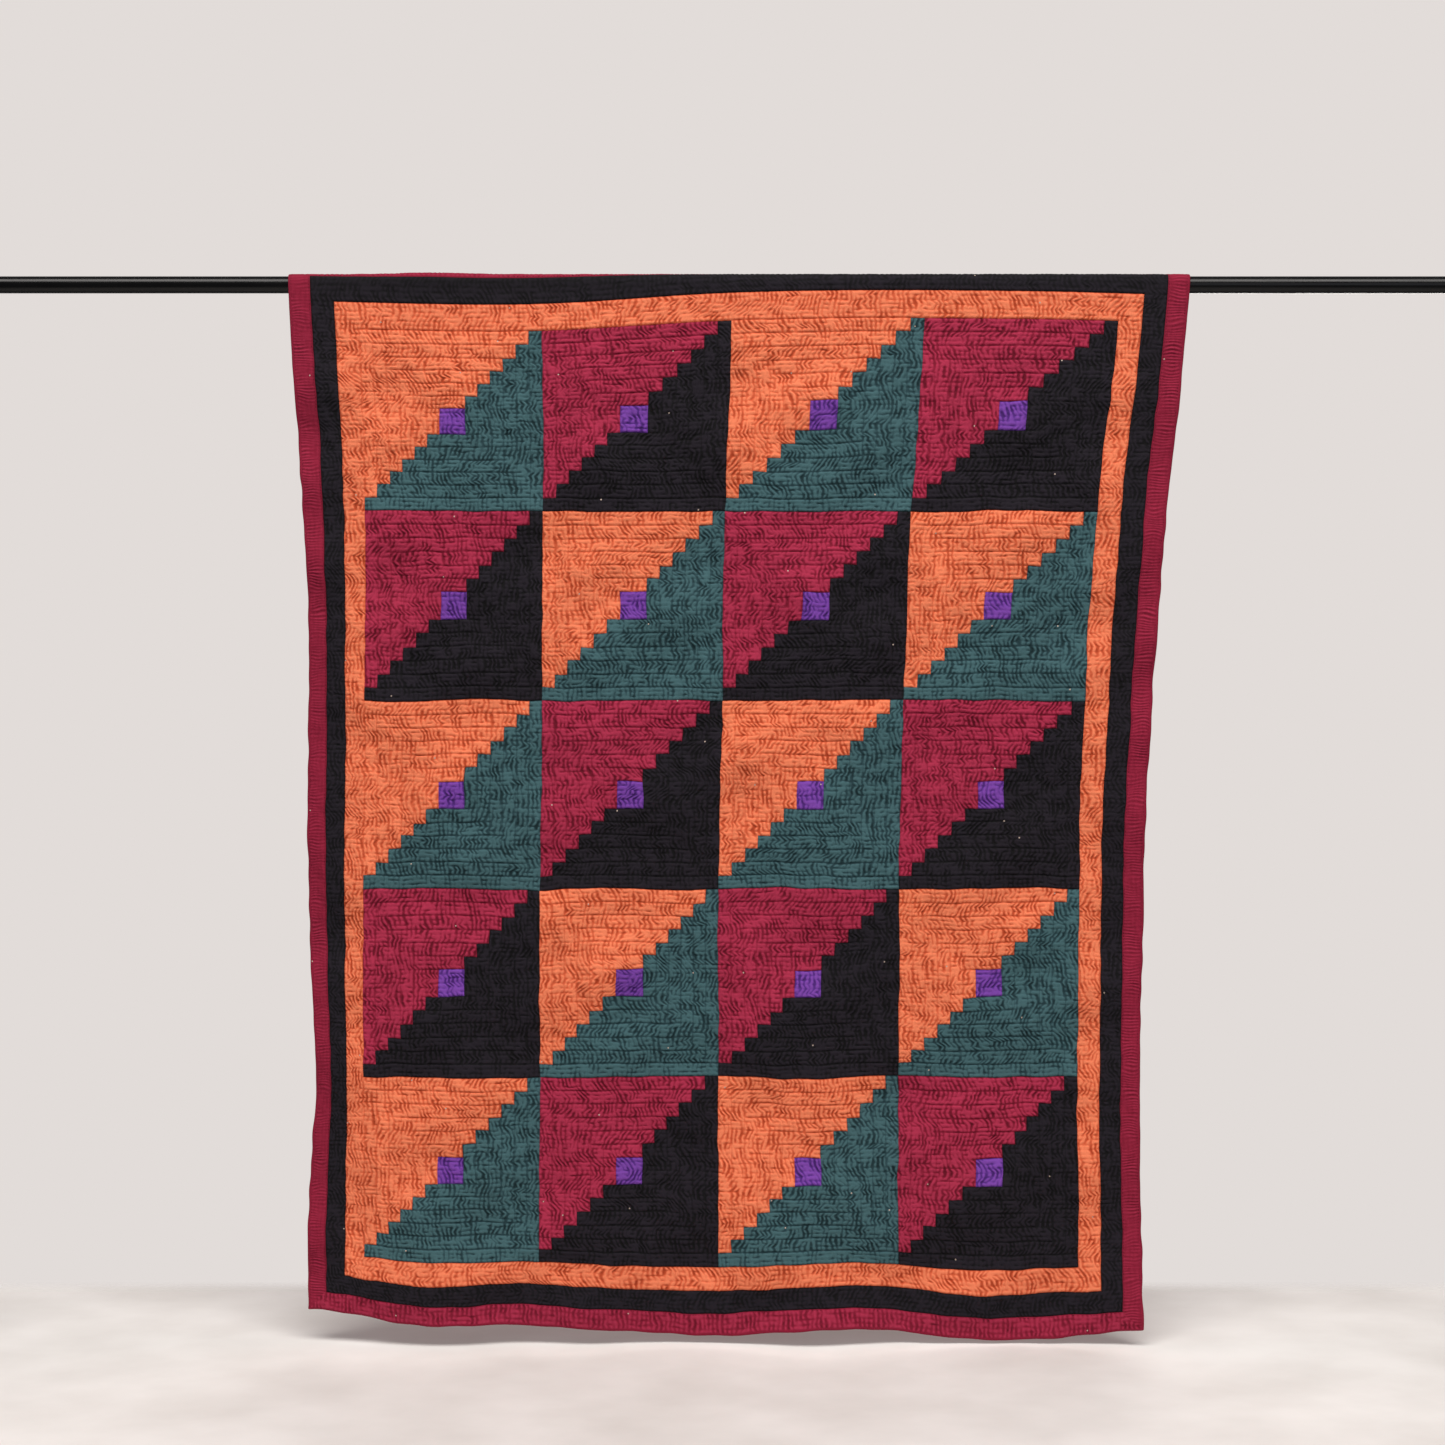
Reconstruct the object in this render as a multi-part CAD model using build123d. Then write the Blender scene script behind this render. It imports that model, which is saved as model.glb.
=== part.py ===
from build123d import *
import math
import os

# A free-standing display rack (two T-foot stands, telescopic masts and a three-section rail)
# with a log cabin quilt that hangs from the rail by a cotton sleeve sewn to its back.
# +X runs along the rail, +Y points away from the viewer of the pieced side, +Z is up, and
# the origin is on the floor in the middle of the rack. All sizes are in millimetres.

# ---- rack: driving dimensions ------------------------------------------------------------
RAIL_Z = 2010.0
RAIL_R = 16.0
RAIL_WALL = 1.7
RAIL_HALF = 1545.0
RAIL_JOINT_X = 500.0
RAIL_CAP = 4.0
JOINER_HALF = 80.0
JOINER_WALL = 2.0
MAST_X = 1510.0
FOOT_LENGTH = 640.0
FOOT_WIDTH = 60.0
FOOT_HEIGHT = 30.0
FOOT_WALL = 2.0
GLIDE_HEIGHT = 14.0
GLIDE_Y = 285.0
BOLT_Y = 42.0
PLATE = (56.0, 116.0, 5.0)
SOCKET_HEIGHT = 120.0
SOCKET_WALL = 3.5
LOWER_MAST_R = 19.0
LOWER_MAST_TOP = 1160.0
UPPER_MAST_R = 16.0
UPPER_MAST_BOTTOM = 560.0
MAST_WALL = 2.0
COLLAR_R = 27.0
COLLAR_BOTTOM = 1110.0
COLLAR_TOP = 1204.0
HEIGHT_KNOB_Z = 1183.0
SADDLE_BOTTOM = 1930.0
SADDLE_HALF = 25.0
SADDLE_R = 25.0
FIT = 0.15
RUNNING_FIT = 0.05
MOVING_GAP = 0.4
SIDES = {"left": -1, "right": 1}

FOOT_TOP = GLIDE_HEIGHT + FOOT_HEIGHT
PLATE_TOP = FOOT_TOP + PLATE[2]
SOCKET_TOP = PLATE_TOP + SOCKET_HEIGHT

# ---- quilt: driving dimensions -----------------------------------------------------------
BLOCK = 355.6
LOGS = 6
LOG = 25.3
CENTRE_HALF = BLOCK / 2 - LOGS * LOG
COLUMNS = 4
ROWS = 5
ORANGE_BORDER = 45.0
BLACK_BORDER = 44.0
BINDING = 39.0
PATCH = 0.6
WADDING = 4.2
BACKING = 0.6
SEAM_GAP = 0.1
EDGE_FOLD = 1.2
BORDERS = ORANGE_BORDER + BLACK_BORDER + BINDING
FLAT_WIDTH = COLUMNS * BLOCK + 2 * BORDERS

# The layers, as distances from the rail's axis: sleeve, backing, wadding and pieced top.
SLEEVE_IN = RAIL_R + MOVING_GAP
SLEEVE_OUT = SLEEVE_IN + 1.0
BACKING_IN = SLEEVE_OUT + 0.2
WADDING_IN = BACKING_IN + BACKING
PATCH_IN = WADDING_IN + WADDING
PATCH_OUT = PATCH_IN + PATCH

# Drops below the fold over the rail: the border seams, the block rows and the hem.
FOLD_Z = RAIL_Z + PATCH_OUT
FRONT_START = PATCH_OUT
ORANGE_TOP = 47.0
GRID_TOP = ORANGE_TOP + ORANGE_BORDER
GRID_BOTTOM = GRID_TOP + ROWS * BLOCK
HEM = GRID_BOTTOM + BORDERS
SWING_GAP = 1.5
LIP_BELOW_AXIS = 8.0
SEAM_ANGLE = 90.0
SEAM_ANGLE_GAP = 0.5
SLEEVE_SHORT = 25.0
SLEEVE_SEAM_DROP = 64.0

# The quilt is held out to its full width along the rail and closes up a little below it.
LEFT_LOW, LEFT_SPREAD, LEFT_POWER = -770.0, -52.0, 2.5
RIGHT_LOW, RIGHT_SPREAD, RIGHT_POWER = 788.0, 96.0, 4.5


# ---- helpers -----------------------------------------------------------------------------
def tube(outer_r, inner_r, length):
    """A round tube centred on the origin along Z."""
    return Cylinder(outer_r, length) - Cylinder(inner_r, length + 1)


def along_x(x, y, z):
    """A placement whose own Z axis points along +X."""
    return Location((x, y, z), (0, 90, 0))


def both_sides(make):
    return [make(side) for side in SIDES.values()]


def save(name, *solids):
    whole = solids[0] if len(solids) == 1 else Compound(list(solids))
    export_step(whole, f"parts/{name}.step")


# ---- stands ------------------------------------------------------------------------------
def foot_bar(side):
    """Rectangular steel tube, front to back, drilled for the glides and the bracket bolts."""
    inner = (FOOT_WIDTH - 2 * FOOT_WALL, FOOT_LENGTH + 1, FOOT_HEIGHT - 2 * FOOT_WALL)
    outside = Box(FOOT_WIDTH, FOOT_LENGTH, FOOT_HEIGHT)
    outside = fillet(outside.edges().filter_by(Axis.Y), 3)
    bar = outside - Box(*inner)
    for y in (-BOLT_Y, BOLT_Y):
        bar -= Pos(0, y, 0) * Cylinder(4 + FIT, FOOT_HEIGHT + 1)
    for y in (-GLIDE_Y, GLIDE_Y):
        bar -= Pos(0, y, -FOOT_HEIGHT / 2) * Cylinder(4 + FIT, 2 * FOOT_WALL + 1)
    return Pos(side * MAST_X, 0, GLIDE_HEIGHT + FOOT_HEIGHT / 2) * bar


def foot_end_cap(side, end):
    """Moulded plug with a domed face, pushed into the open end of a foot bar."""
    face = Box(FOOT_WIDTH, 5, FOOT_HEIGHT)
    face = fillet(face.edges().filter_by(Axis.Y), 3)
    outer_edges = face.faces().sort_by(Axis.Y)[0].edges()
    face = fillet(outer_edges, 1.8)
    inner = (FOOT_WIDTH - 2 * FOOT_WALL - 2 * FIT, 20, FOOT_HEIGHT - 2 * FOOT_WALL - 2 * FIT)
    plug = Box(*inner) - Pos(0, 2, 0) * Box(inner[0] - 5, 20, inner[2] - 5)
    cap = Pos(0, -2.5, 0) * face + Pos(0, 10, 0) * plug
    turn = 0 if end < 0 else 180
    place = Pos(side * MAST_X, end * FOOT_LENGTH / 2, GLIDE_HEIGHT + FOOT_HEIGHT / 2)
    return place * Rot(0, 0, turn) * cap


def glide(side, end):
    """Rubber foot disc with a stem that presses into the bar's lower wall."""
    disc = Cylinder(19, GLIDE_HEIGHT)
    disc = fillet(disc.edges().sort_by(Axis.Z)[0], 2.5)
    stem = Pos(0, 0, GLIDE_HEIGHT / 2 + 3) * Cylinder(4, 6)
    barb = Pos(0, 0, GLIDE_HEIGHT / 2 + FOOT_WALL + 2) * Cylinder(5.5, 1.6)
    return Pos(side * MAST_X, end * GLIDE_Y, GLIDE_HEIGHT / 2) * (disc + stem + barb)


def base_bracket(side):
    """Plate, upright socket and two gussets, welded into one piece."""
    plate = Box(*PLATE)
    plate = fillet(plate.edges().filter_by(Axis.Z), 6)
    for y in (-BOLT_Y, BOLT_Y):
        plate -= Pos(0, y, 0) * Cylinder(4 + FIT, PLATE[2] + 1)
    socket_r = LOWER_MAST_R + FIT + SOCKET_WALL
    socket = Cylinder(socket_r, SOCKET_HEIGHT)
    middle = Pos(0, 0, (PLATE[2] + SOCKET_HEIGHT) / 2)
    reach = PLATE[1] / 2 - 3
    rib = Polyline((0, 0), (reach, 0), (reach, 4), (socket_r, 72), (0, 72), close=True)
    web = extrude(Plane.YZ * make_face(rib), 2, both=True)
    bracket = plate + middle * socket
    for turn in (0, 180):
        notch = Pos(0, BOLT_Y, 9) * Cylinder(9.5, 16)
        bracket += Rot(0, 0, turn) * (Pos(0, 0, PLATE[2] / 2) * web - notch)
    bracket -= middle * Cylinder(LOWER_MAST_R + FIT, SOCKET_HEIGHT + 0.01)
    bracket -= along_x(side * 20, 0, 90) * Cylinder(3 + RUNNING_FIT, 20)
    return Pos(side * MAST_X, 0, FOOT_TOP + PLATE[2] / 2) * bracket


def base_bolt(side, y):
    """Hexagon bolt with its washer, through plate and bar, and the nut under the bar."""
    head = extrude(RegularPolygon(7.5, 6), 5.3)
    washer = Cylinder(8.5, 1.6)
    grip = PLATE[2] + FOOT_HEIGHT
    shank = Cylinder(4, grip + 10)
    bolt = Pos(0, 0, 1.6) * head + Pos(0, 0, 0.8) * washer + Pos(0, 0, -grip / 2 - 4) * shank
    nut = extrude(RegularPolygon(7.5, 6), 6.5)
    bolt += Pos(0, 0, -grip - 6.5) * nut
    return Pos(side * MAST_X, y, PLATE_TOP) * bolt


def lower_mast(side):
    """Outer tube of the telescopic mast, standing in the socket."""
    length = LOWER_MAST_TOP - PLATE_TOP
    inner_r = LOWER_MAST_R - MAST_WALL
    middle = (LOWER_MAST_TOP + PLATE_TOP) / 2
    return Pos(side * MAST_X, 0, middle) * tube(LOWER_MAST_R, inner_r, length)


def socket_screw(side):
    """Grub screw through the socket wall, bearing on the lower mast."""
    start = LOWER_MAST_R + FIT
    body = Cylinder(3, 8) - Pos(0, 0, 2.5) * extrude(RegularPolygon(1.7, 6), 4)
    z = FOOT_TOP + PLATE[2] / 2 + 90
    place = along_x(side * (MAST_X + start + 4), 0, z)
    return place * (body if side > 0 else Rot(180, 0, 0) * body)


def mast_collar(side):
    """Clamp collar: its lower half grips the lower mast, its upper half guides the inner one."""
    height = COLLAR_TOP - COLLAR_BOTTOM
    body = Cylinder(COLLAR_R, height)
    body = fillet(body.edges().filter_by(GeomType.CIRCLE), 3)
    boss = along_x(side * 30, 0, HEIGHT_KNOB_Z - (COLLAR_TOP + COLLAR_BOTTOM) / 2)
    body += boss * Cylinder(12, 16)
    seat = LOWER_MAST_TOP - COLLAR_BOTTOM
    body -= Pos(0, 0, (seat - height) / 2) * Cylinder(LOWER_MAST_R + FIT, seat + 0.02)
    body -= Cylinder(UPPER_MAST_R + MOVING_GAP, height + 1)
    body -= boss * Cylinder(5 + RUNNING_FIT, 40)
    return Pos(side * MAST_X, 0, (COLLAR_TOP + COLLAR_BOTTOM) / 2) * body


def clamp_knob(head_r, stud_r, reach, lobes):
    """Lobed hand knob on a stud. The stud's tip is at the origin and the knob is towards +Z."""
    lobe_r = head_r * 0.34
    outline = Circle(head_r - lobe_r)
    for place in PolarLocations(head_r - lobe_r, lobes):
        outline += place * Circle(lobe_r)
    head = extrude(outline, 16)
    head = fillet(head.edges().group_by(Axis.Z)[-1], 2.5)
    hub = Cylinder(stud_r + 5, 8)
    stud = Cylinder(stud_r, reach + 6)
    knob = Pos(0, 0, reach + 6) * head + Pos(0, 0, reach + 2) * hub
    return knob + Pos(0, 0, (reach + 6) / 2) * stud


def height_knob(side):
    """Clamp knob of a mast: its stud presses on the inner mast and stops it sliding."""
    knob = clamp_knob(25, 5, 24, 5)
    tip = MAST_X + UPPER_MAST_R + 0.5
    place = Location((side * tip, 0, HEIGHT_KNOB_Z), (0, 90 * side, 0))
    return place * knob


# ---- upper frame -------------------------------------------------------------------------
def upper_mast(side):
    """Inner tube of the telescopic mast, up to the saddle."""
    top = RAIL_Z - SADDLE_R - 9
    length = top - UPPER_MAST_BOTTOM
    middle = (top + UPPER_MAST_BOTTOM) / 2
    mast = tube(UPPER_MAST_R, UPPER_MAST_R - MAST_WALL, length)
    return Pos(side * MAST_X, 0, middle) * mast


def mast_bush(side):
    """Plastic bush on the inner mast's lower end, which guides it in the outer tube."""
    bush = tube(LOWER_MAST_R - MAST_WALL - MOVING_GAP, UPPER_MAST_R, 30)
    lip = Pos(0, 0, -16.5) * Cylinder(LOWER_MAST_R - MAST_WALL - MOVING_GAP, 3)
    return Pos(side * MAST_X, 0, UPPER_MAST_BOTTOM + 15) * (bush + lip)


def rail_saddle(side):
    """Cast saddle: a sleeve that caps the mast, and a ring that holds the rail."""
    height = RAIL_Z - SADDLE_BOTTOM
    sleeve = Cylinder(21, height)
    socket_top = RAIL_Z - SADDLE_R - 9 + 0.05
    depth = socket_top - SADDLE_BOTTOM
    ring = Rot(0, 90, 0) * Cylinder(SADDLE_R, 2 * SADDLE_HALF)
    ring = fillet(ring.edges().filter_by(GeomType.CIRCLE), 2)
    boss = Pos(0, SADDLE_R + 4, 0) * Rot(90, 0, 0) * Cylinder(10, 16)
    saddle = Pos(0, 0, -height / 2) * sleeve + ring + boss
    saddle -= Rot(0, 90, 0) * Cylinder(RAIL_R + FIT, 2 * SADDLE_HALF + 1)
    saddle -= Pos(0, 0, -height + depth / 2) * Cylinder(UPPER_MAST_R + FIT, depth + 0.02)
    saddle -= Pos(0, 30, 0) * Rot(90, 0, 0) * Cylinder(4 + RUNNING_FIT, 40)
    saddle -= Pos(0, 18, 25 - height) * Rot(90, 0, 0) * Cylinder(3 + RUNNING_FIT, 20)
    return Pos(side * MAST_X, 0, RAIL_Z) * saddle


def saddle_knob(side):
    """Clamp knob at the back of a saddle, which holds the rail still."""
    knob = clamp_knob(19, 4, 23.5, 5)
    return Location((side * MAST_X, RAIL_R + 0.4, RAIL_Z), (-90, 0, 0)) * knob


def saddle_screw(side):
    """Grub screw that fixes the saddle to its mast."""
    body = Cylinder(3, 6) - Pos(0, 0, 1.5) * extrude(RegularPolygon(1.7, 6), 4)
    y = UPPER_MAST_R + FIT + 3
    return Location((side * MAST_X, y, SADDLE_BOTTOM + 25), (-90, 0, 0)) * body


def rail_section(x_low, x_high, holes):
    """One length of the rail, with a drilled hole underneath at each given X."""
    length = x_high - x_low
    section = tube(RAIL_R, RAIL_R - RAIL_WALL, length)
    section = along_x((x_low + x_high) / 2, 0, RAIL_Z) * section
    for x, radius in holes:
        section -= Pos(x, 0, RAIL_Z - RAIL_R) * Cylinder(radius, 10)
    return section


def rail_joiner(side):
    """Spigot inside the rail where two sections meet, riveted at one end."""
    outer = RAIL_R - RAIL_WALL - FIT
    joiner = along_x(side * RAIL_JOINT_X, 0, RAIL_Z) * tube(outer, outer - JOINER_WALL, 2 * JOINER_HALF)
    button_x = side * (RAIL_JOINT_X + JOINER_HALF / 2)
    rivet_x = side * (RAIL_JOINT_X - JOINER_HALF / 2)
    joiner -= Pos(button_x, 0, RAIL_Z - outer) * Cylinder(3.6 + RUNNING_FIT, 10)
    joiner -= Pos(rivet_x, 0, RAIL_Z - outer) * Cylinder(2.4 + RUNNING_FIT, 10)
    return joiner


def joiner_rivet(side):
    """Dome-headed rivet under the rail that keeps the joiner in the middle section."""
    x = side * (RAIL_JOINT_X - JOINER_HALF / 2)
    shank = Pos(0, 0, 3) * Cylinder(2.4, 6)
    head = Pos(0, 0, -0.6) * Cylinder(4.2, 1.4)
    head = fillet(head.edges().sort_by(Axis.Z)[0], 0.9)
    return Pos(x, 0, RAIL_Z - RAIL_R - 0.2) * (shank + head)


def snap_button(side):
    """Sprung button under the rail that locks an outer section onto its joiner."""
    x = side * (RAIL_JOINT_X + JOINER_HALF / 2)
    stem = Pos(0, 0, 1.5) * Cylinder(3.6, 8)
    stem = fillet(stem.edges().sort_by(Axis.Z)[0], 1.4)
    flange = Pos(0, 0, 6.1) * Cylinder(4.4, 1.2)
    return Pos(x, 0, RAIL_Z - RAIL_R) * (stem + flange)


def button_spring(side):
    """Folded leaf spring inside the joiner, under the snap button's flange."""
    low, high, thick = -9.2, 11.0, 0.8
    bend_r = (high - low) / 2
    bend = Pos(-26, (high + low) / 2) * (Circle(bend_r) - Circle(bend_r - thick))
    bend = bend & (Pos(-26 - bend_r, (high + low) / 2) * Rectangle(2 * bend_r, 4 * bend_r))
    lower = Pos(-10.75, low + thick / 2) * Rectangle(30.5, thick)
    upper = Pos(-13, high - thick / 2) * Rectangle(26, thick)
    strip = extrude(Plane.XZ * (bend + lower + upper), 3.2, both=True)
    x = side * (RAIL_JOINT_X + JOINER_HALF / 2)
    return Pos(x, 0, RAIL_Z) * (strip if side > 0 else Rot(0, 0, 180) * strip)


def rail_cap(side):
    """Moulded plug in the rail's open end."""
    face = Cylinder(RAIL_R, RAIL_CAP)
    face = fillet(face.edges().sort_by(Axis.Z)[-1], 1.8)
    plug = Pos(0, 0, -RAIL_CAP / 2 - 9) * tube(RAIL_R - RAIL_WALL - FIT, 11, 18)
    cap = face + plug
    place = Location((side * (RAIL_HALF + RAIL_CAP / 2), 0, RAIL_Z), (0, 90 * side, 0))
    return place * cap


# ---- quilt -------------------------------------------------------------------------------
ROW_LINES = [0.0] + [GRID_TOP + row * BLOCK for row in range(ROWS + 1)] + [HEM]


def side_edge(drop, low, spread, power):
    """X of one side edge: a taper that is straight from one block row's seam to the next."""
    above = max(line for line in ROW_LINES[:-1] if line <= drop)
    below = ROW_LINES[ROW_LINES.index(above) + 1]
    share = (drop - above) / (below - above)
    high_x, low_x = [low + spread * (1 - line / HEM) ** power for line in (above, below)]
    return high_x + (low_x - high_x) * share


def left_edge(drop):
    return side_edge(drop, LEFT_LOW, LEFT_SPREAD, LEFT_POWER)


def right_edge(drop):
    return side_edge(drop, RIGHT_LOW, RIGHT_SPREAD, RIGHT_POWER)


def hung_x(across, drop):
    """Where a point of the flat quilt hangs: across from its left edge, drop below the fold."""
    left = left_edge(drop)
    return left + (right_edge(drop) - left) * across / FLAT_WIDTH


def levels(high, low):
    """Drops at which a long strip's edges are set out, so that they follow the taper."""
    return [high] + [m for m in ROW_LINES if high + 1 < m < low - 1] + [low]


def cloth(across_0, across_1, drop_0, drop_1, near=PATCH_IN, far=PATCH_OUT, gap=SEAM_GAP):
    """A flat piece of the quilt's front wall, between two distances from the rail's axis."""
    a, b = across_0 + gap, across_1 - gap
    steps = levels(drop_0 + gap, drop_1 - gap)
    ring = [(hung_x(a, d), -far, FOLD_Z - d) for d in steps]
    ring += [(hung_x(b, d), -far, FOLD_Z - d) for d in reversed(steps)]
    face = Face(Wire.make_polygon([Vector(*p) for p in ring], close=True))
    return Solid.extrude(face, Vector(0, far - near, 0))


def block_patches(row, column):
    """One log cabin block as (colour, solid): the centre, then six rounds of four logs."""
    light, dark = ("orange", "green") if (row + column) % 2 == 0 else ("crimson", "black")
    x0 = BORDERS + column * BLOCK
    z0 = GRID_TOP + row * BLOCK

    def patch(colour, a, b, top, bottom):
        return colour, cloth(x0 + a, x0 + b, z0 + top, z0 + bottom)

    a, b = BLOCK / 2 - CENTRE_HALF, BLOCK / 2 + CENTRE_HALF
    made = [patch("purple", a, b, a, b)]
    for _ in range(LOGS):
        made.append(patch(light, a - LOG, a, a, b))
        made.append(patch(light, a - LOG, b, a - LOG, a))
        made.append(patch(dark, b, b + LOG, a - LOG, b))
        made.append(patch(dark, a - LOG, b + LOG, b, b + LOG))
        a, b = a - LOG, b + LOG
    return made


def frame_strip(outer, width):
    """A border below the swing line: two sides and the bottom, butted, as three solids."""
    left, right = outer, FLAT_WIDTH - outer
    low = HEM - outer
    start = GRID_TOP + SWING_GAP
    return [cloth(left, left + width, start, low - width),
            cloth(right - width, right, start, low - width),
            cloth(left, right, low - width, low)]


def drop_binding():
    """The binding below the swing line, with the fold of cloth that closes the quilt's edge."""
    strips = frame_strip(0, BINDING)
    start, low, w = GRID_TOP + SWING_GAP, HEM, FLAT_WIDTH
    edges = [cloth(0, EDGE_FOLD, start, low - EDGE_FOLD, WADDING_IN, PATCH_IN),
             cloth(w - EDGE_FOLD, w, start, low - EDGE_FOLD, WADDING_IN, PATCH_IN),
             cloth(0, w, low - EDGE_FOLD, low, WADDING_IN, PATCH_IN)]
    return strips + edges


def cross_section(x):
    """The plane across the rail at X, with its own X towards the back and its own Y up."""
    return Plane((x, 0, RAIL_Z), x_dir=(0, 1, 0), z_dir=(1, 0, 0))


def over_rail(r_in, r_out, x_low, x_high, angle_low, angle_high, lip=0.0):
    """A layer wrapped over the rail between two angles, with an optional lip hanging behind.
    Angles are measured at the axis: 0 is straight back, 90 is up, 180 is the front."""
    reach = 3 * r_out
    turns = [angle_low + (angle_high - angle_low) * share for share in (0, 0.5, 1)]
    corners = [(reach * math.cos(math.radians(t)), reach * math.sin(math.radians(t)))
               for t in turns]
    section = (Circle(r_out) - Circle(r_in)) & make_face(Polyline((0, 0), *corners, close=True))
    if lip:
        section += Pos((r_in + r_out) / 2, -lip / 2) * Rectangle(r_out - r_in, lip)
    return extrude(cross_section(x_low) * section, x_high - x_low)


def head_layer(r_in, r_out, inset):
    """Backing or wadding of the quilt's head: the front wall, the fold and the lip behind."""
    x_low, x_high = left_edge(0) + inset, right_edge(0) - inset
    fold = over_rail(r_in, r_out, x_low, x_high, 0, 180, LIP_BELOW_AXIS - inset)
    wall = cloth(inset, FLAT_WIDTH - inset, FRONT_START, GRID_TOP - SWING_GAP, r_in, r_out, 0.0)
    return fold + wall


def head_binding():
    """Crimson border of the head: over the rail and down behind, and both side edges."""
    x_low, x_high = left_edge(0), right_edge(0)
    seam = SEAM_ANGLE - SEAM_ANGLE_GAP
    fold = over_rail(PATCH_IN, PATCH_OUT, x_low, x_high, 0, seam, LIP_BELOW_AXIS)
    low = GRID_TOP - SWING_GAP
    left = cloth(0, BINDING, FRONT_START, low)
    right = cloth(FLAT_WIDTH - BINDING, FLAT_WIDTH, FRONT_START, low)
    hem = Pos((WADDING_IN + PATCH_IN) / 2, -LIP_BELOW_AXIS + EDGE_FOLD / 2)
    hem = hem * Rectangle(WADDING, EDGE_FOLD)
    return [fold, extrude(cross_section(x_low) * hem, x_high - x_low), left, right]


def head_black():
    """Black border of the head: from the crimson seam at the fold down to the orange one."""
    seam = SEAM_ANGLE + SEAM_ANGLE_GAP
    fold = over_rail(PATCH_IN, PATCH_OUT, left_edge(0), right_edge(0), seam, 180)
    w, low = FLAT_WIDTH, GRID_TOP - SWING_GAP
    inner = BINDING + BLACK_BORDER
    return [fold, cloth(BINDING, w - BINDING, FRONT_START, ORANGE_TOP),
            cloth(BINDING, inner, ORANGE_TOP, low), cloth(w - inner, w - BINDING, ORANGE_TOP, low)]


def head_orange():
    """Orange border of the head, between the black one and the blocks."""
    inner = BINDING + BLACK_BORDER
    return cloth(inner, FLAT_WIDTH - inner, ORANGE_TOP, GRID_TOP - SWING_GAP)


def hanging_sleeve():
    """Cotton tube sewn to the back of the quilt's head. The rail runs through it."""
    x_low, x_high = left_edge(0) + SLEEVE_SHORT, right_edge(0) - SLEEVE_SHORT

    def teardrop(radius, seam):
        distance = math.hypot(radius, seam)
        turn = math.atan2(-seam, -radius) + math.acos(radius / distance)
        touch = (radius * math.cos(turn), radius * math.sin(turn))
        tail = Polyline((-radius, 0), (-radius, -seam), touch, (0, 0), close=True)
        return Circle(radius) + make_face(tail)

    section = teardrop(SLEEVE_OUT, SLEEVE_SEAM_DROP)
    section -= teardrop(SLEEVE_IN, SLEEVE_SEAM_DROP - 4)
    return extrude(cross_section(x_low) * section, x_high - x_low)


# ---- write every node --------------------------------------------------------------------
os.makedirs("parts", exist_ok=True)

for name, side in SIDES.items():
    save(f"foot_bar_{name}", foot_bar(side))
    save(f"base_bracket_{name}", base_bracket(side))
    save(f"lower_mast_{name}", lower_mast(side))
    save(f"mast_collar_{name}", mast_collar(side))
    save(f"height_knob_{name}", height_knob(side))
    save(f"upper_mast_{name}", upper_mast(side))
    save(f"rail_saddle_{name}", rail_saddle(side))
    save(f"saddle_knob_{name}", saddle_knob(side))
    save(f"snap_button_{name}", snap_button(side))
    save(f"button_spring_{name}", button_spring(side))

save("foot_end_caps", *[foot_end_cap(s, e) for s in SIDES.values() for e in (-1, 1)])
save("rubber_glides", *[glide(s, e) for s in SIDES.values() for e in (-1, 1)])
save("base_bolts", *[base_bolt(s, y) for s in SIDES.values() for y in (-BOLT_Y, BOLT_Y)])
save("socket_screws", *both_sides(socket_screw))
save("mast_bushes", *both_sides(mast_bush))
save("saddle_screws", *both_sides(saddle_screw))
save("rail_joiners", *both_sides(rail_joiner))
save("joiner_rivets", *both_sides(joiner_rivet))
save("rail_end_caps", *both_sides(rail_cap))

BUTTON_X = RAIL_JOINT_X + JOINER_HALF / 2
RIVET_X = RAIL_JOINT_X - JOINER_HALF / 2
BUTTON_HOLE, RIVET_HOLE = 3.6 + RUNNING_FIT, 2.4 + RUNNING_FIT
save("rail_left", rail_section(-RAIL_HALF, -RAIL_JOINT_X, [(-BUTTON_X, BUTTON_HOLE)]))
save("rail_right", rail_section(RAIL_JOINT_X, RAIL_HALF, [(BUTTON_X, BUTTON_HOLE)]))
save("rail_centre", rail_section(-RAIL_JOINT_X, RAIL_JOINT_X,
                                 [(-RIVET_X, RIVET_HOLE), (RIVET_X, RIVET_HOLE)]))

patches = {"purple": [], "orange": [], "green": [], "crimson": [], "black": []}
for row in range(ROWS):
    for column in range(COLUMNS):
        for colour, solid in block_patches(row, column):
            patches[colour].append(solid)
for colour, solids in patches.items():
    save("block_centres_purple" if colour == "purple" else f"block_logs_{colour}", *solids)

start = GRID_TOP + SWING_GAP
save("border_orange", *frame_strip(BINDING + BLACK_BORDER, ORANGE_BORDER))
save("border_black", *frame_strip(BINDING, BLACK_BORDER))
save("binding_crimson", *drop_binding())
save("wadding", cloth(EDGE_FOLD, FLAT_WIDTH - EDGE_FOLD, start, HEM - EDGE_FOLD,
                      WADDING_IN, PATCH_IN))
save("backing", cloth(0, FLAT_WIDTH, start, HEM, BACKING_IN, WADDING_IN))
save("head_wadding", head_layer(WADDING_IN, PATCH_IN, EDGE_FOLD + SEAM_GAP))
save("head_backing", head_layer(BACKING_IN, WADDING_IN, 0.0))
save("head_border_orange", head_orange())
save("head_border_black", *head_black())
save("head_binding", *head_binding())
save("hanging_sleeve", hanging_sleeve())
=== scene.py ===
# %% [markdown]
# # A log cabin quilt on a display rack
#
# The object is a cotton patchwork quilt that hangs by a sleeve from the rail of a black steel
# rack. The rack, the rail and every part that moves come from the CAD frame and stay as they
# are. This lesson makes what the CAD can't show: the quilted cloth, its stitching, and the
# finish of every surface. Everything is in metres, with Z up and the floor at zero.

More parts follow.
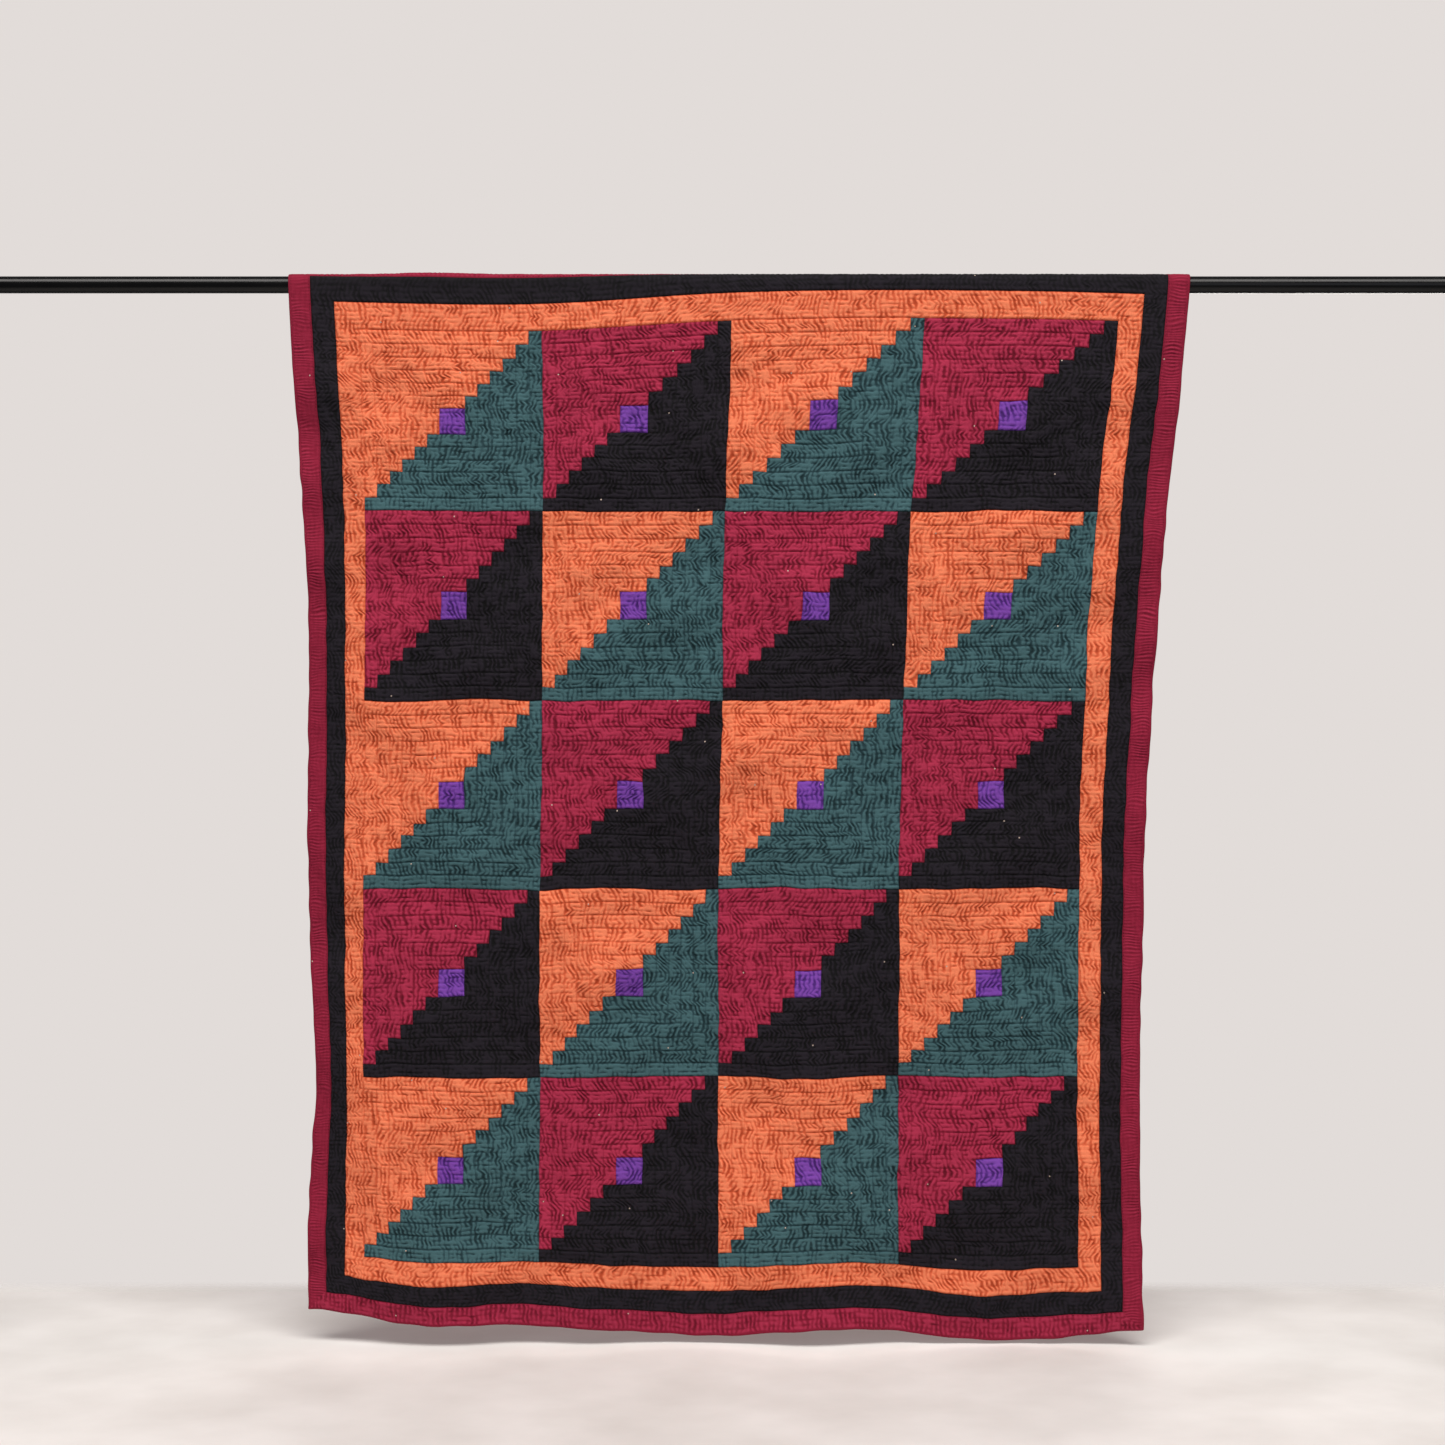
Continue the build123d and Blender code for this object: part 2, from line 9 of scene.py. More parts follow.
# %% Load the CAD frame
import math

import bmesh
import bpy
import numpy as np
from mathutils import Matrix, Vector


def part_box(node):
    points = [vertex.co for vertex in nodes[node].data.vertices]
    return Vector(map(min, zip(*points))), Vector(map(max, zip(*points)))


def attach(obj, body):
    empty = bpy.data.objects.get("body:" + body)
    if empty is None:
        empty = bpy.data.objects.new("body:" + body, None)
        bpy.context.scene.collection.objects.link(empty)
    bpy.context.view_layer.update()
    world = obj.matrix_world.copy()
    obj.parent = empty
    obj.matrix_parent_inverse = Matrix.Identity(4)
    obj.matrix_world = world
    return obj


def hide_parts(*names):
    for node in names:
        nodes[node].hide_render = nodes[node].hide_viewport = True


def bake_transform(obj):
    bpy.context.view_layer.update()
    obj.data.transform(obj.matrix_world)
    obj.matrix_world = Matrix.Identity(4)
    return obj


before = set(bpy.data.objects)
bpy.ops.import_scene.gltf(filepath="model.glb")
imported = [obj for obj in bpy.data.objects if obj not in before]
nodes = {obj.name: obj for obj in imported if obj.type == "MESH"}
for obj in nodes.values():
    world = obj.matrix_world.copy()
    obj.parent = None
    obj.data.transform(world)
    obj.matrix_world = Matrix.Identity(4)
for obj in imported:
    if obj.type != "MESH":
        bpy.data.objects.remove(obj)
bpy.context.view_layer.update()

# %% [markdown]
# ## Where the quilt hangs
#
# The quilt goes where the frame says: over the rail, with its pieced side towards -Y. The rail's
# axis and radius are read from the rail's box, and how far the cloth stands off the rail is read
# from the box of the head, so the fold follows if either of them changes.

# %% Read the rail and the head
MM = 0.001
rail_low, rail_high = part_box("rail_centre")
RAIL_Z = (rail_low.z + rail_high.z) / 2
RAIL_R = (rail_high.z - rail_low.z) / 2
head_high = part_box("head_border_black")[1]
FOLD_R = head_high.z - RAIL_Z - 0.3 * MM
print("rail axis", round(RAIL_Z, 4), "radius", round(RAIL_R, 4), "fold radius", round(FOLD_R, 4))

# %% [markdown]
# ## The quilt as it was cut
#
# A log cabin block starts from a small square, and strips called logs are sewn round it, round
# after round: a light left log, a light top log, a dark right log and a dark bottom log. Twenty
# blocks, four across and five down, are set inside an orange border, a black border and a wide
# crimson binding. A quilter knows the piece by these flat sizes, so the mesh is made in flat
# coordinates first, S across from the left edge and T down from the top edge, and only then hung.

# %% Flat sizes
BLOCK = 355.6 * MM
LOG = 25.3 * MM
LOGS = 6
CENTRE = BLOCK / 2 - LOGS * LOG
COLUMNS = 4
ROWS = 5
SIDE_BORDERS = np.array([39, 44, 45]) * MM
HEAD_BORDERS = np.array([39, 50, 50]) * MM
HEM_BORDERS = np.array([45, 41, 38]) * MM
WIDTH = COLUMNS * BLOCK + 2 * SIDE_BORDERS.sum()
LENGTH = ROWS * BLOCK + HEAD_BORDERS.sum() + HEM_BORDERS.sum()
GRID_S = SIDE_BORDERS.sum()
GRID_T = HEAD_BORDERS.sum()
THICK = 5.2 * MM
print("quilt", round(WIDTH, 3), "by", round(LENGTH, 3), "m flat, centre square", round(2 * CENTRE, 3))

# %% [markdown]
# ## Smooth unevenness
#
# Hand-made cloth is never quite regular. One small function gives smooth noise of a chosen
# length: a few sine waves in seeded random directions. It is the same at every run, and the same
# wherever it is asked, so neighbouring pieces agree along their shared seam.


# %% A helper for smooth noise
def ripple(s, t, size, seed, count=7):
    """Smooth noise, mostly from -1 to 1, with waves about size long."""
    draw = np.random.default_rng(seed)
    total = 0.0
    for _ in range(count):
        angle, stretch, phase = draw.uniform((0, 0.7, 0), (math.pi, 1.4, 2 * math.pi))
        turn = 2 * math.pi / (size * stretch)
        total = total + np.sin(turn * (math.cos(angle) * s + math.sin(angle) * t) + phase)
    return total * 0.6 / math.sqrt(count / 2)


def smooth(x, low, high):
    """0 below low, 1 above high, and an S-curve between."""
    u = np.clip((x - low) / (high - low), 0, 1)
    return u * u * (3 - 2 * u)


def through(x, knots, values):
    """A smooth curve through values at knots, worked out at x."""
    slopes = np.gradient(values, knots)
    i = np.clip(np.searchsorted(knots, x, side="right") - 1, 0, len(knots) - 2)
    h = knots[i + 1] - knots[i]
    u = (x - knots[i]) / h
    a = (2 * u**3 - 3 * u**2 + 1) * values[i] + (u**3 - 2 * u**2 + u) * h * slopes[i]
    return a + (3 * u**2 - 2 * u**3) * values[i + 1] + (u**3 - u**2) * h * slopes[i + 1]


print("the noise at one place is", round(float(ripple(0.5, 0.5, 0.3, 3)), 3))


# %% [markdown]
# ## How the cloth hangs
#
# Along the rail the quilt is held out a little wider than it was cut. Lower down the blocks hang
# closer together, and the borders turn a little away from the front. The head also hangs a little
# further right than the hem, so the long seams lean. A few rounded shares and lengths say all of
# this, and smooth curves join them. They were tuned by trial until the outline was within about a
# centimetre of the real quilt's.

# %% Where the long seams hang
FIELD_HALF = COLUMNS * BLOCK / 2
HELD_OUT, DRAWN_IN = 1.02, 0.951
HEAD_LEAN, HEM_LEAN = 35 * MM, -3 * MM
HEAD_BOW, LOW_BOW = 14 * MM, 5 * MM
LEFT_TURN, RIGHT_TURN = 0.17, 0.07
TUCK_T, LEFT_TUCK, RIGHT_TUCK = 1.56, 0.12, 0.06


def seam_x(s, t):
    """How far right of the rack's middle the point at S and T hangs."""
    t = np.clip(t, 0, LENGTH)
    from_middle = s - WIDTH / 2
    inner = np.clip(from_middle, -FIELD_HALF, FIELD_HALF)
    share = inner / FIELD_HALF
    field = DRAWN_IN + (HELD_OUT - DRAWN_IN) * np.exp(-((t / 0.47) ** 1.5))
    lean = HEM_LEAN + HEAD_LEAN * np.exp(-((t / 0.68) ** 2))
    bow = LOW_BOW + (HEAD_BOW - LOW_BOW) * np.exp(-((t / 0.65) ** 4))
    bow = bow * (1 - share**2) * (1 - 0.6 * share)
    tuck = np.exp(-(((t - TUCK_T) / 0.2) ** 2))
    left = 1 - LEFT_TURN * smooth(t, 0.2, 0.8) - LEFT_TUCK * tuck
    right = 1 - RIGHT_TURN * smooth(t, 0.7, 1.2) - RIGHT_TUCK * tuck
    border = (from_middle - inner) * np.where(from_middle < 0, left, right)
    return inner * field + lean - bow + border


# The top edge goes over the rail and ends this far round its back, more at the right.
LIP_S = np.array([0, 0.50, 0.80, 1.40, WIDTH])
LIP = np.array([21, 16, 34, 38, 31]) * MM
LIP_MIDDLE = 34 * MM

# How far the hem is lifted from a straight line: it dips twice and rises to both corners.
HEM_S = np.array([0, 0.25, 0.55, 0.79, 1.07, 1.42, WIDTH])
HEM_LIFT = np.array([38, 18, 8, -10, 9, -19, 6]) * MM


def lip(s):
    return through(np.clip(s, 0, WIDTH), LIP_S, LIP)


def stretch(t):
    """How far the quilt's own weight stretches it: by two parts in a hundred at the rail, then less."""
    return 11.5 * MM * (1 - np.exp(-t / 0.5))


for level in (0, TUCK_T):
    ends = seam_x(np.array([0, WIDTH]), level)
    print("at", level, "m down the quilt hangs", round(float(np.ptp(ends)), 3), "m wide")

# %% [markdown]
# ## The drape as a surface
#
# Now S and T turn into a place in space. The first centimetres go round the rail as an arc, and
# the rest falls straight, with slow waves that grow towards the hem and smaller unevenness over
# them. A third number, the depth behind the pieced side, is taken along the surface's own normal,
# so the stitched relief, the backing and the binding all come from one function and fit each
# other everywhere.


# %% Hang the cloth
LIFT_FROM = 1.45


def wave_depth(s, t):
    """How far the hanging cloth swings in and out, in metres along Y."""
    v = np.clip(t / LENGTH, 0, None)
    grow = MM * (1.5 + 12 * v**1.6) * smooth(t, 0.06, 0.35)
    slow = 0.9 * np.sin(2 * math.pi * s / 0.71 + 0.9 + 0.8 * v)
    quick = 0.5 * np.sin(2 * math.pi * s / 0.37 + 2.4 - 1.6 * v)
    side = 5 * MM * v * (np.exp(-s / 0.06) + np.exp(-(WIDTH - s) / 0.06))
    uneven = MM * smooth(t, 0.10, 0.30) * (1.6 * ripple(s, t, 0.10, 4) + 5.5 * ripple(s, t, 0.21, 5))
    return grow * (slow + quick + 0.5 * ripple(s, t, 0.45, 3)) + side + uneven


def pressed(s, t):
    """1 on top of the rail, where the quilt's own weight presses it thin, and 0 elsewhere."""
    return np.exp(-(((t - lip(s)) / (0.8 * FOLD_R)) ** 2))


def cloth_point(s, t):
    """Where the pieced side is, without its relief, at S and T."""
    loose = smooth(t, 0.05, 0.30)
    s_seam = s + MM * (1.5 * ripple(s, t, 0.30, 11) + 0.8 * ripple(s, t, 0.06, 12)) * loose
    t_seam = t + MM * (1.7 * ripple(s, t, 0.30, 13) + 1.1 * ripple(s, t, 0.08, 14)) * loose
    s_in = np.clip(s_seam, 0, WIDTH)
    x = s_seam - s_in + seam_x(s_in, t)
    back = t_seam - lip(s)
    quarter = math.pi / 2 * FOLD_R
    angle = np.minimum(back, quarter) / FOLD_R
    radius = FOLD_R - 2.8 * MM * pressed(s, t)
    fall = np.maximum(back - quarter, 0)
    lift = (LIP_MIDDLE - lip(s)) * smooth(t, GRID_T, GRID_T + BLOCK)
    low = np.clip((t - LIFT_FROM) / (LENGTH - LIFT_FROM), 0, None) ** 2.4
    lift = lift + through(np.clip(s, 0, WIDTH), HEM_S, HEM_LIFT) * low
    y = -radius * np.sin(angle) + wave_depth(s, t)
    z = RAIL_Z + radius * np.cos(angle) - fall - stretch(t) * smooth(fall, 0, 0.04) + lift
    return np.stack(np.broadcast_arrays(x, y, z), axis=-1)


def hang(s, t, depth=0.0):
    """The point at S, T and that depth behind the pieced side, with the layers pressed over the rail."""
    step = 1 * MM
    across = cloth_point(s + step, t) - cloth_point(s - step, t)
    down = cloth_point(s, t + step) - cloth_point(s, t - step)
    out = np.cross(down, across)
    out /= np.linalg.norm(out, axis=-1, keepdims=True)
    deep = np.where(np.asarray(depth) > 0, depth * (1 - 0.5 * pressed(s, t)), depth)
    return cloth_point(s, t) - deep[..., None] * out


corner = hang(np.array([0.0]), np.array([LENGTH]))[0]
print("lower left corner hangs at", [round(float(c), 3) for c in corner])

# %% [markdown]
# ## Quilting rows
#
# Rows of hand stitches run across the whole quilt, three to a log, and hold the three layers
# together. Between two rows the wadding puffs up, and along a row the cloth is pulled down into a
# ditch. The mesh follows the sewing: an edge of it lies on every seam, so that colour changes are
# crisp, and on the line that each row is sewn along, with a few cells between. The rows themselves
# wander by a millimetre or two from their lines.


# %% Lines of the mesh
def divided(widths, counts):
    """Positions that divide each width into its count of equal cells."""
    steps = np.concatenate([np.full(n, w / n) for w, n in zip(widths, counts)])
    return np.concatenate([[0], np.cumsum(steps)])


CELLS_IN_ROW = 5
ACROSS = 1.0
block_rows = [3] * LOGS + [6] + [3] * LOGS
block_widths = [LOG] * LOGS + [2 * CENTRE] + [LOG] * LOGS
rows_down = [5, 5, 6] + block_rows * ROWS + [5, 5, 4]
widths_down = [*HEAD_BORDERS] + block_widths * ROWS + [*HEM_BORDERS]
ROW_LINES = divided(widths_down, rows_down)
T_LINES = divided(widths_down, [n * CELLS_IN_ROW for n in rows_down])

log_cells = round(18 * ACROSS)
centre_cells = round(37 * ACROSS)
block_cells = [log_cells] * LOGS + [centre_cells] + [log_cells] * LOGS
side_cells = [round(w * 700 * ACROSS) for w in SIDE_BORDERS]
widths_across = [*SIDE_BORDERS] + block_widths * COLUMNS + [*SIDE_BORDERS[::-1]]
S_LINES = divided(widths_across, side_cells + block_cells * COLUMNS + side_cells[::-1])
print(len(ROW_LINES), "stitched rows;", len(S_LINES) - 1, "by", len(T_LINES) - 1, "cells")

# %% [markdown]
# ## Which patch is where
#
# Each place on the flat quilt belongs to a border, or to a log of a block. The borders are
# counted inwards from the edge, and a block's rounds are counted outwards from its centre, by the
# larger of the two distances from it. The same count gives the distance to the nearest seam.


# %% Borders and rounds
def border_count(s, t):
    """0 at the edge, 1 and 2 at the border seams, 3 at the blocks; and the same across and down."""
    a = np.concatenate([[0], np.cumsum(SIDE_BORDERS)])
    b = np.concatenate([[0], np.cumsum(HEAD_BORDERS)])
    c = LENGTH - np.concatenate([[0], np.cumsum(HEM_BORDERS[::-1])])[::-1]
    across = np.interp(np.minimum(s, WIDTH - s), a, [0, 1, 2, 3])
    down = np.interp(t, np.concatenate([b, c]), [0, 1, 2, 3, 3, 2, 1, 0])
    return np.minimum(across, down), across, down


def block_place(s, t):
    """Distances right of and below the centre of the block at S and T."""
    right = (s - GRID_S) % BLOCK - BLOCK / 2
    below = (t - GRID_T) % BLOCK - BLOCK / 2
    return right, below


def seam_distance(s, t):
    """How far the nearest seam is, in metres."""
    count, _, _ = border_count(s, t)
    at_border = np.abs(count - np.clip(np.round(count), 1, 3)) * 43 * MM
    right, below = block_place(s, t)
    wide, high = np.abs(right), np.abs(below)
    rounds = (np.maximum(wide, high) - CENTRE) / LOG
    to_round = np.abs(rounds - np.clip(np.round(rounds), 0, LOGS)) * LOG
    inner = CENTRE + LOG * np.floor(np.clip(rounds, 0, LOGS - 1e-6))
    top_right = (right > 0) & (below < 0)
    butt = np.where(top_right, np.abs(wide - inner), np.abs(high - inner))
    joined = (rounds > 0) & np.where(top_right, high > inner, wide > inner)
    in_block = np.where(joined, np.minimum(to_round, butt), to_round)
    return np.where(count >= 3 - 1e-9, in_block, at_border)


print("log seams are", round(LOG / MM, 1), "mm apart, rows", round(LOG / 3 / MM, 2), "mm")

# %% [markdown]
# ## Puffs, wrinkles and ditches
#
# Close to, each puff is crossed by slanting wrinkles about 9 mm apart. They come from the
# needle: every stitch gathers the cloth a little, and the pull runs slantwise from a stitch in
# one row to its neighbour in the next, one way in one row and often the other way in the next.
# The binding wrinkles across its width, and the black border wrinkles less than the blocks do.
# All of it is real relief in the mesh, so it catches light from the side.


# %% The relief of the pieced side
def row_noise(s, row, size, seed):
    """Smooth noise along each row, different from row to row."""
    draw = np.random.default_rng(seed)
    phase = draw.uniform(0, 2 * math.pi, (len(ROW_LINES) + 1, 4))
    total = 0.0
    for k in range(4):
        total = total + np.sin(2 * math.pi * s / (size * (0.7 + 0.27 * k)) + phase[row, k])
    return total * 0.42


WRINKLE = 9.4 * MM
TALL, CREASE = 1.8, 2.1

s_grid = S_LINES[None, :]
t_grid = T_LINES[:, None]
count, count_across, count_down = border_count(s_grid, t_grid)
on_side = count_across < count_down
in_blocks = count >= 3 - 1e-9
crimson, black, orange = count < 1, (count >= 1) & (count < 2), (count >= 2) & ~in_blocks
right, below = block_place(s_grid, t_grid)
last_log = in_blocks & (below > BLOCK / 2 - LOG)
to_seam = seam_distance(s_grid, t_grid)

wander = 0.9 * ripple(s_grid, t_grid, 0.028, 27) + 0.8 * ripple(s_grid, t_grid, 0.09, 28)
wander = MM * wander * (1 - np.exp(-((to_seam / (5 * MM)) ** 2)))
t_sewn = t_grid + wander
row_of = np.clip(np.searchsorted(ROW_LINES, t_sewn + 1e-7, side="right") - 1, 0, len(ROW_LINES) - 2)
row_size = np.diff(ROW_LINES)[row_of]
row_part = np.clip((t_sewn - ROW_LINES[row_of]) / row_size, 0, 1)
arch = np.sin(math.pi * row_part)
print("rows wander by up to", round(float(np.abs(wander).max() / MM), 2), "mm")


# %% Puffs and creases
def between_rows(value):
    """A value given at each row of stitches, shared smoothly between the rows above and below."""
    return value(row_of) * (1 - row_part) + value(row_of + 1) * row_part


def pull_down(line):
    """How hard a row of stitches pulls the cloth down along its length."""
    loose = 0.3 * row_noise(s_grid, line, 0.09, 29) + 0.45 * row_noise(s_grid, line, 0.021, 30)
    return np.clip(0.68 + loose, 0.1, 1.4)


zigzag = np.clip(0.9 * ripple(s_grid, t_grid, 0.16, 20), -1, 1)
lean = 1.25 * ripple(s_grid / 4, t_grid, 0.08, 22) + 0.12 * ripple(s_grid, t_grid, 0.03, 23)
straight = crimson | last_log
zigzag = np.where(straight, 0.1 * zigzag, zigzag)
lean = np.where(straight, 0.1 * lean, lean)


def slant(line):
    """How far the creases are shifted where they meet a row, as a share of their spacing."""
    return 0.34 * (-1.0) ** line * zigzag + 0.25 * row_noise(s_grid, line, 0.06, 21)


shift = between_rows(slant)
crease = np.abs(np.sin(math.pi * (s_grid / WRINKLE + shift + lean))) ** 1.8
patchy = 0.85 + 0.6 * ripple(s_grid, t_grid, 0.045, 24) + 0.35 * row_noise(s_grid, row_of, 0.05, 25)
patchy = np.clip(patchy, 0.15, 1.7)

tall = np.select([crimson & on_side, crimson, black, orange], [0.2, 0.6, 0.75, 0.9], 1.0)
creased = np.select([crimson & on_side, crimson, black, orange], [0.1, 0.6, 0.6, 0.95], 1.0)
creased = np.where(last_log, 0.6, creased)
held = between_rows(pull_down)
puff = 1 - held * (1 - arch)
fine = TALL * tall * puff - CREASE * creased * patchy * (1 - crease) * (0.45 + 0.55 * arch)
print("relief so far, mm:", round(float(fine.min()), 2), "to", round(float(fine.max()), 2))

# %% [markdown]
# Some rows were pulled tighter than others, and the binding has its own wrinkles, square to its
# edge. Along each seam the cloth dips, because the seam allowance is pressed under it. Near the
# outer edge the relief runs out to nothing, where the binding turns to the back. Wider, lower
# unevenness lies under all of it, and the head has one lump where it goes over the rail.

# %% Tight rows, seams and the binding's wrinkles
from_row = np.minimum(row_part, 1 - row_part) * row_size
near_row = np.where(row_part > 0.5, row_of + 1, row_of)
tight = 0.6 * np.clip(row_noise(s_grid, near_row, 0.12, 31) - 0.1, 0, 1.5) ** 2
fine = fine - np.exp(-((from_row / (1.1 * MM)) ** 2)) * tall * tight

pull = 2 * math.pi * t_grid / (6.0 * MM) + 2.6 * ripple(s_grid, t_grid, 0.045, 33)
across_edge = np.sin(math.pi * np.clip(count, 0, 1)) ** 0.6
gather = 0.6 + 0.4 * ripple(s_grid, t_grid, 0.06, 34)
fine = fine + (crimson & on_side) * across_edge * gather * np.sin(pull)

upright = in_blocks & (np.abs(right) > np.abs(below))
seam_deep = np.where(upright, 0.6, 1.1)
tied = 1 - 0.45 * np.exp(-((to_seam / (2.0 * MM)) ** 2))
seam_dip = seam_deep * np.exp(-((to_seam / (1.4 * MM)) ** 2))
edge = np.minimum(np.minimum(s_grid, WIDTH - s_grid), np.minimum(t_grid, LENGTH - t_grid))
run_out = smooth(edge, 0, 4 * MM)
over_rail = 1 - 0.55 * (1 - smooth(t_grid, 0.03, 0.10))
fine = fine * tied * run_out * over_rail

broad = 0.7 * ripple(s_grid, t_grid, 0.035, 41) * np.where(in_blocks, 1.0, 0.7) * over_rail
lump = 3.0 * np.exp(-(((s_grid - 0.27) / 0.09) ** 2) - ((t_grid - 0.025) / 0.03) ** 2)
relief = MM * (fine + (broad + lump - seam_dip) * run_out)
# height picks the cotton's painted shade: creases and seams sink towards the painted ditch shade and
# puffs rise towards the painted highlight.
height = np.clip((fine - 0.5 * seam_dip + 1.1) / 2.7, 0, 1)
print("relief, mm:", round(float(relief.min() / MM), 2), "to", round(float(relief.max() / MM), 2))

# %% Hang the pieced side
front = hang(s_grid, t_grid, -relief)
print("pieced side spans", [round(float(v), 3) for v in np.ptp(front.reshape(-1, 3), axis=0)], "m")

# %% [markdown]
# ## From numbers to meshes
#
# One helper turns arrays of points and four-sided faces into a Blender mesh. It also stores, for
# the materials, where each point is on the flat cloth and how high it stands, which the cotton
# turns into painted shade and painted highlight, in an attribute named cloth, and a random tone
# for each patch, in an attribute named tone.


# %% A helper that makes a cloth mesh
def cloth_mesh(name, points, quads, flat, tone=None):
    mesh = bpy.data.meshes.new(name)
    mesh.vertices.add(len(points))
    mesh.vertices.foreach_set("co", points.astype(np.float32).ravel())
    mesh.loops.add(quads.size)
    mesh.loops.foreach_set("vertex_index", quads.astype(np.int32).ravel())
    mesh.polygons.add(len(quads))
    mesh.polygons.foreach_set("loop_start", np.arange(0, quads.size, 4, dtype=np.int32))
    mesh.update(calc_edges=True)
    mesh.shade_smooth()
    place = mesh.attributes.new("cloth", "FLOAT_VECTOR", "POINT")
    place.data.foreach_set("vector", flat.astype(np.float32).ravel())
    shade = mesh.attributes.new("tone", "FLOAT", "FACE")
    tone = np.zeros(len(quads)) if tone is None else tone
    shade.data.foreach_set("value", tone.astype(np.float32))
    piece = bpy.data.objects.new(name, mesh)
    bpy.context.scene.collection.objects.link(piece)
    return piece


def grid_quads(down, across):
    """Faces of a grid of points, down rows of points and across points in a row."""
    i = np.arange(down - 1)[:, None] * across + np.arange(across - 1)[None, :]
    return np.stack([i, i + across, i + across + 1, i + 1], axis=-1)


all_points = front.reshape(-1, 3)
all_flat = np.stack(np.broadcast_arrays(s_grid, t_grid, height), axis=-1).reshape(-1, 3)
all_quads = grid_quads(len(T_LINES), len(S_LINES))
print(all_quads.shape[0] * all_quads.shape[1], "faces on the pieced side")

# %% [markdown]
# ## Cotton
#
# The patches are plain-woven quilting cotton, dyed in the piece: matt, a little fuzzy, with a few
# specks of lint. Its colour is painted darker down in the ditches, as painted shade, and lighter
# where it stands up, partly from rubbing and mostly as painted highlight. Colours are written as
# sRGB hex and turned to linear by one function, and one more function adds a node, sets it and
# links it.


# %% Colour and node helpers
def linear(code):
    """An sRGB hex colour as the linear red, green, blue and alpha that a shader takes."""
    parts = [int(code[i : i + 2], 16) / 255 for i in (1, 3, 5)]
    return [c / 12.92 if c <= 0.04045 else ((c + 0.055) / 1.055) ** 2.4 for c in parts] + [1]


def add(tree, kind, inputs=None, **settings):
    """Adds a node, with its settings, and with a value or a link for each named input."""
    node = tree.nodes.new(kind)
    for key, value in settings.items():
        setattr(node, key, value)
    for key, value in (inputs or {}).items():
        if isinstance(value, bpy.types.NodeSocket):
            tree.links.new(value, node.inputs[key])
        else:
            node.inputs[key].default_value = value
    return node


def new_material(name):
    material = bpy.data.materials.new(name)
    material.use_nodes = True
    material.node_tree.nodes.clear()
    return material, material.node_tree


print("orange in linear light", [round(c, 3) for c in linear("#cf5e3c")])

# %% [markdown]
# The weave is drawn from the cloth's own flat coordinates, so threads run along the patches and
# follow every fold. Real threads are 0.4 mm apart. That is too fine to see from across a room, so
# they are drawn 1.2 mm apart. Thicker threads, called slubs, run a few centimetres each way and
# shade the colour by a few parts in a hundred. Cotton's IOR is about 1.5, its roughness is
# high, and a low sheen gives the fuzz.


# %% The cotton material
THREAD = 1.2 * MM


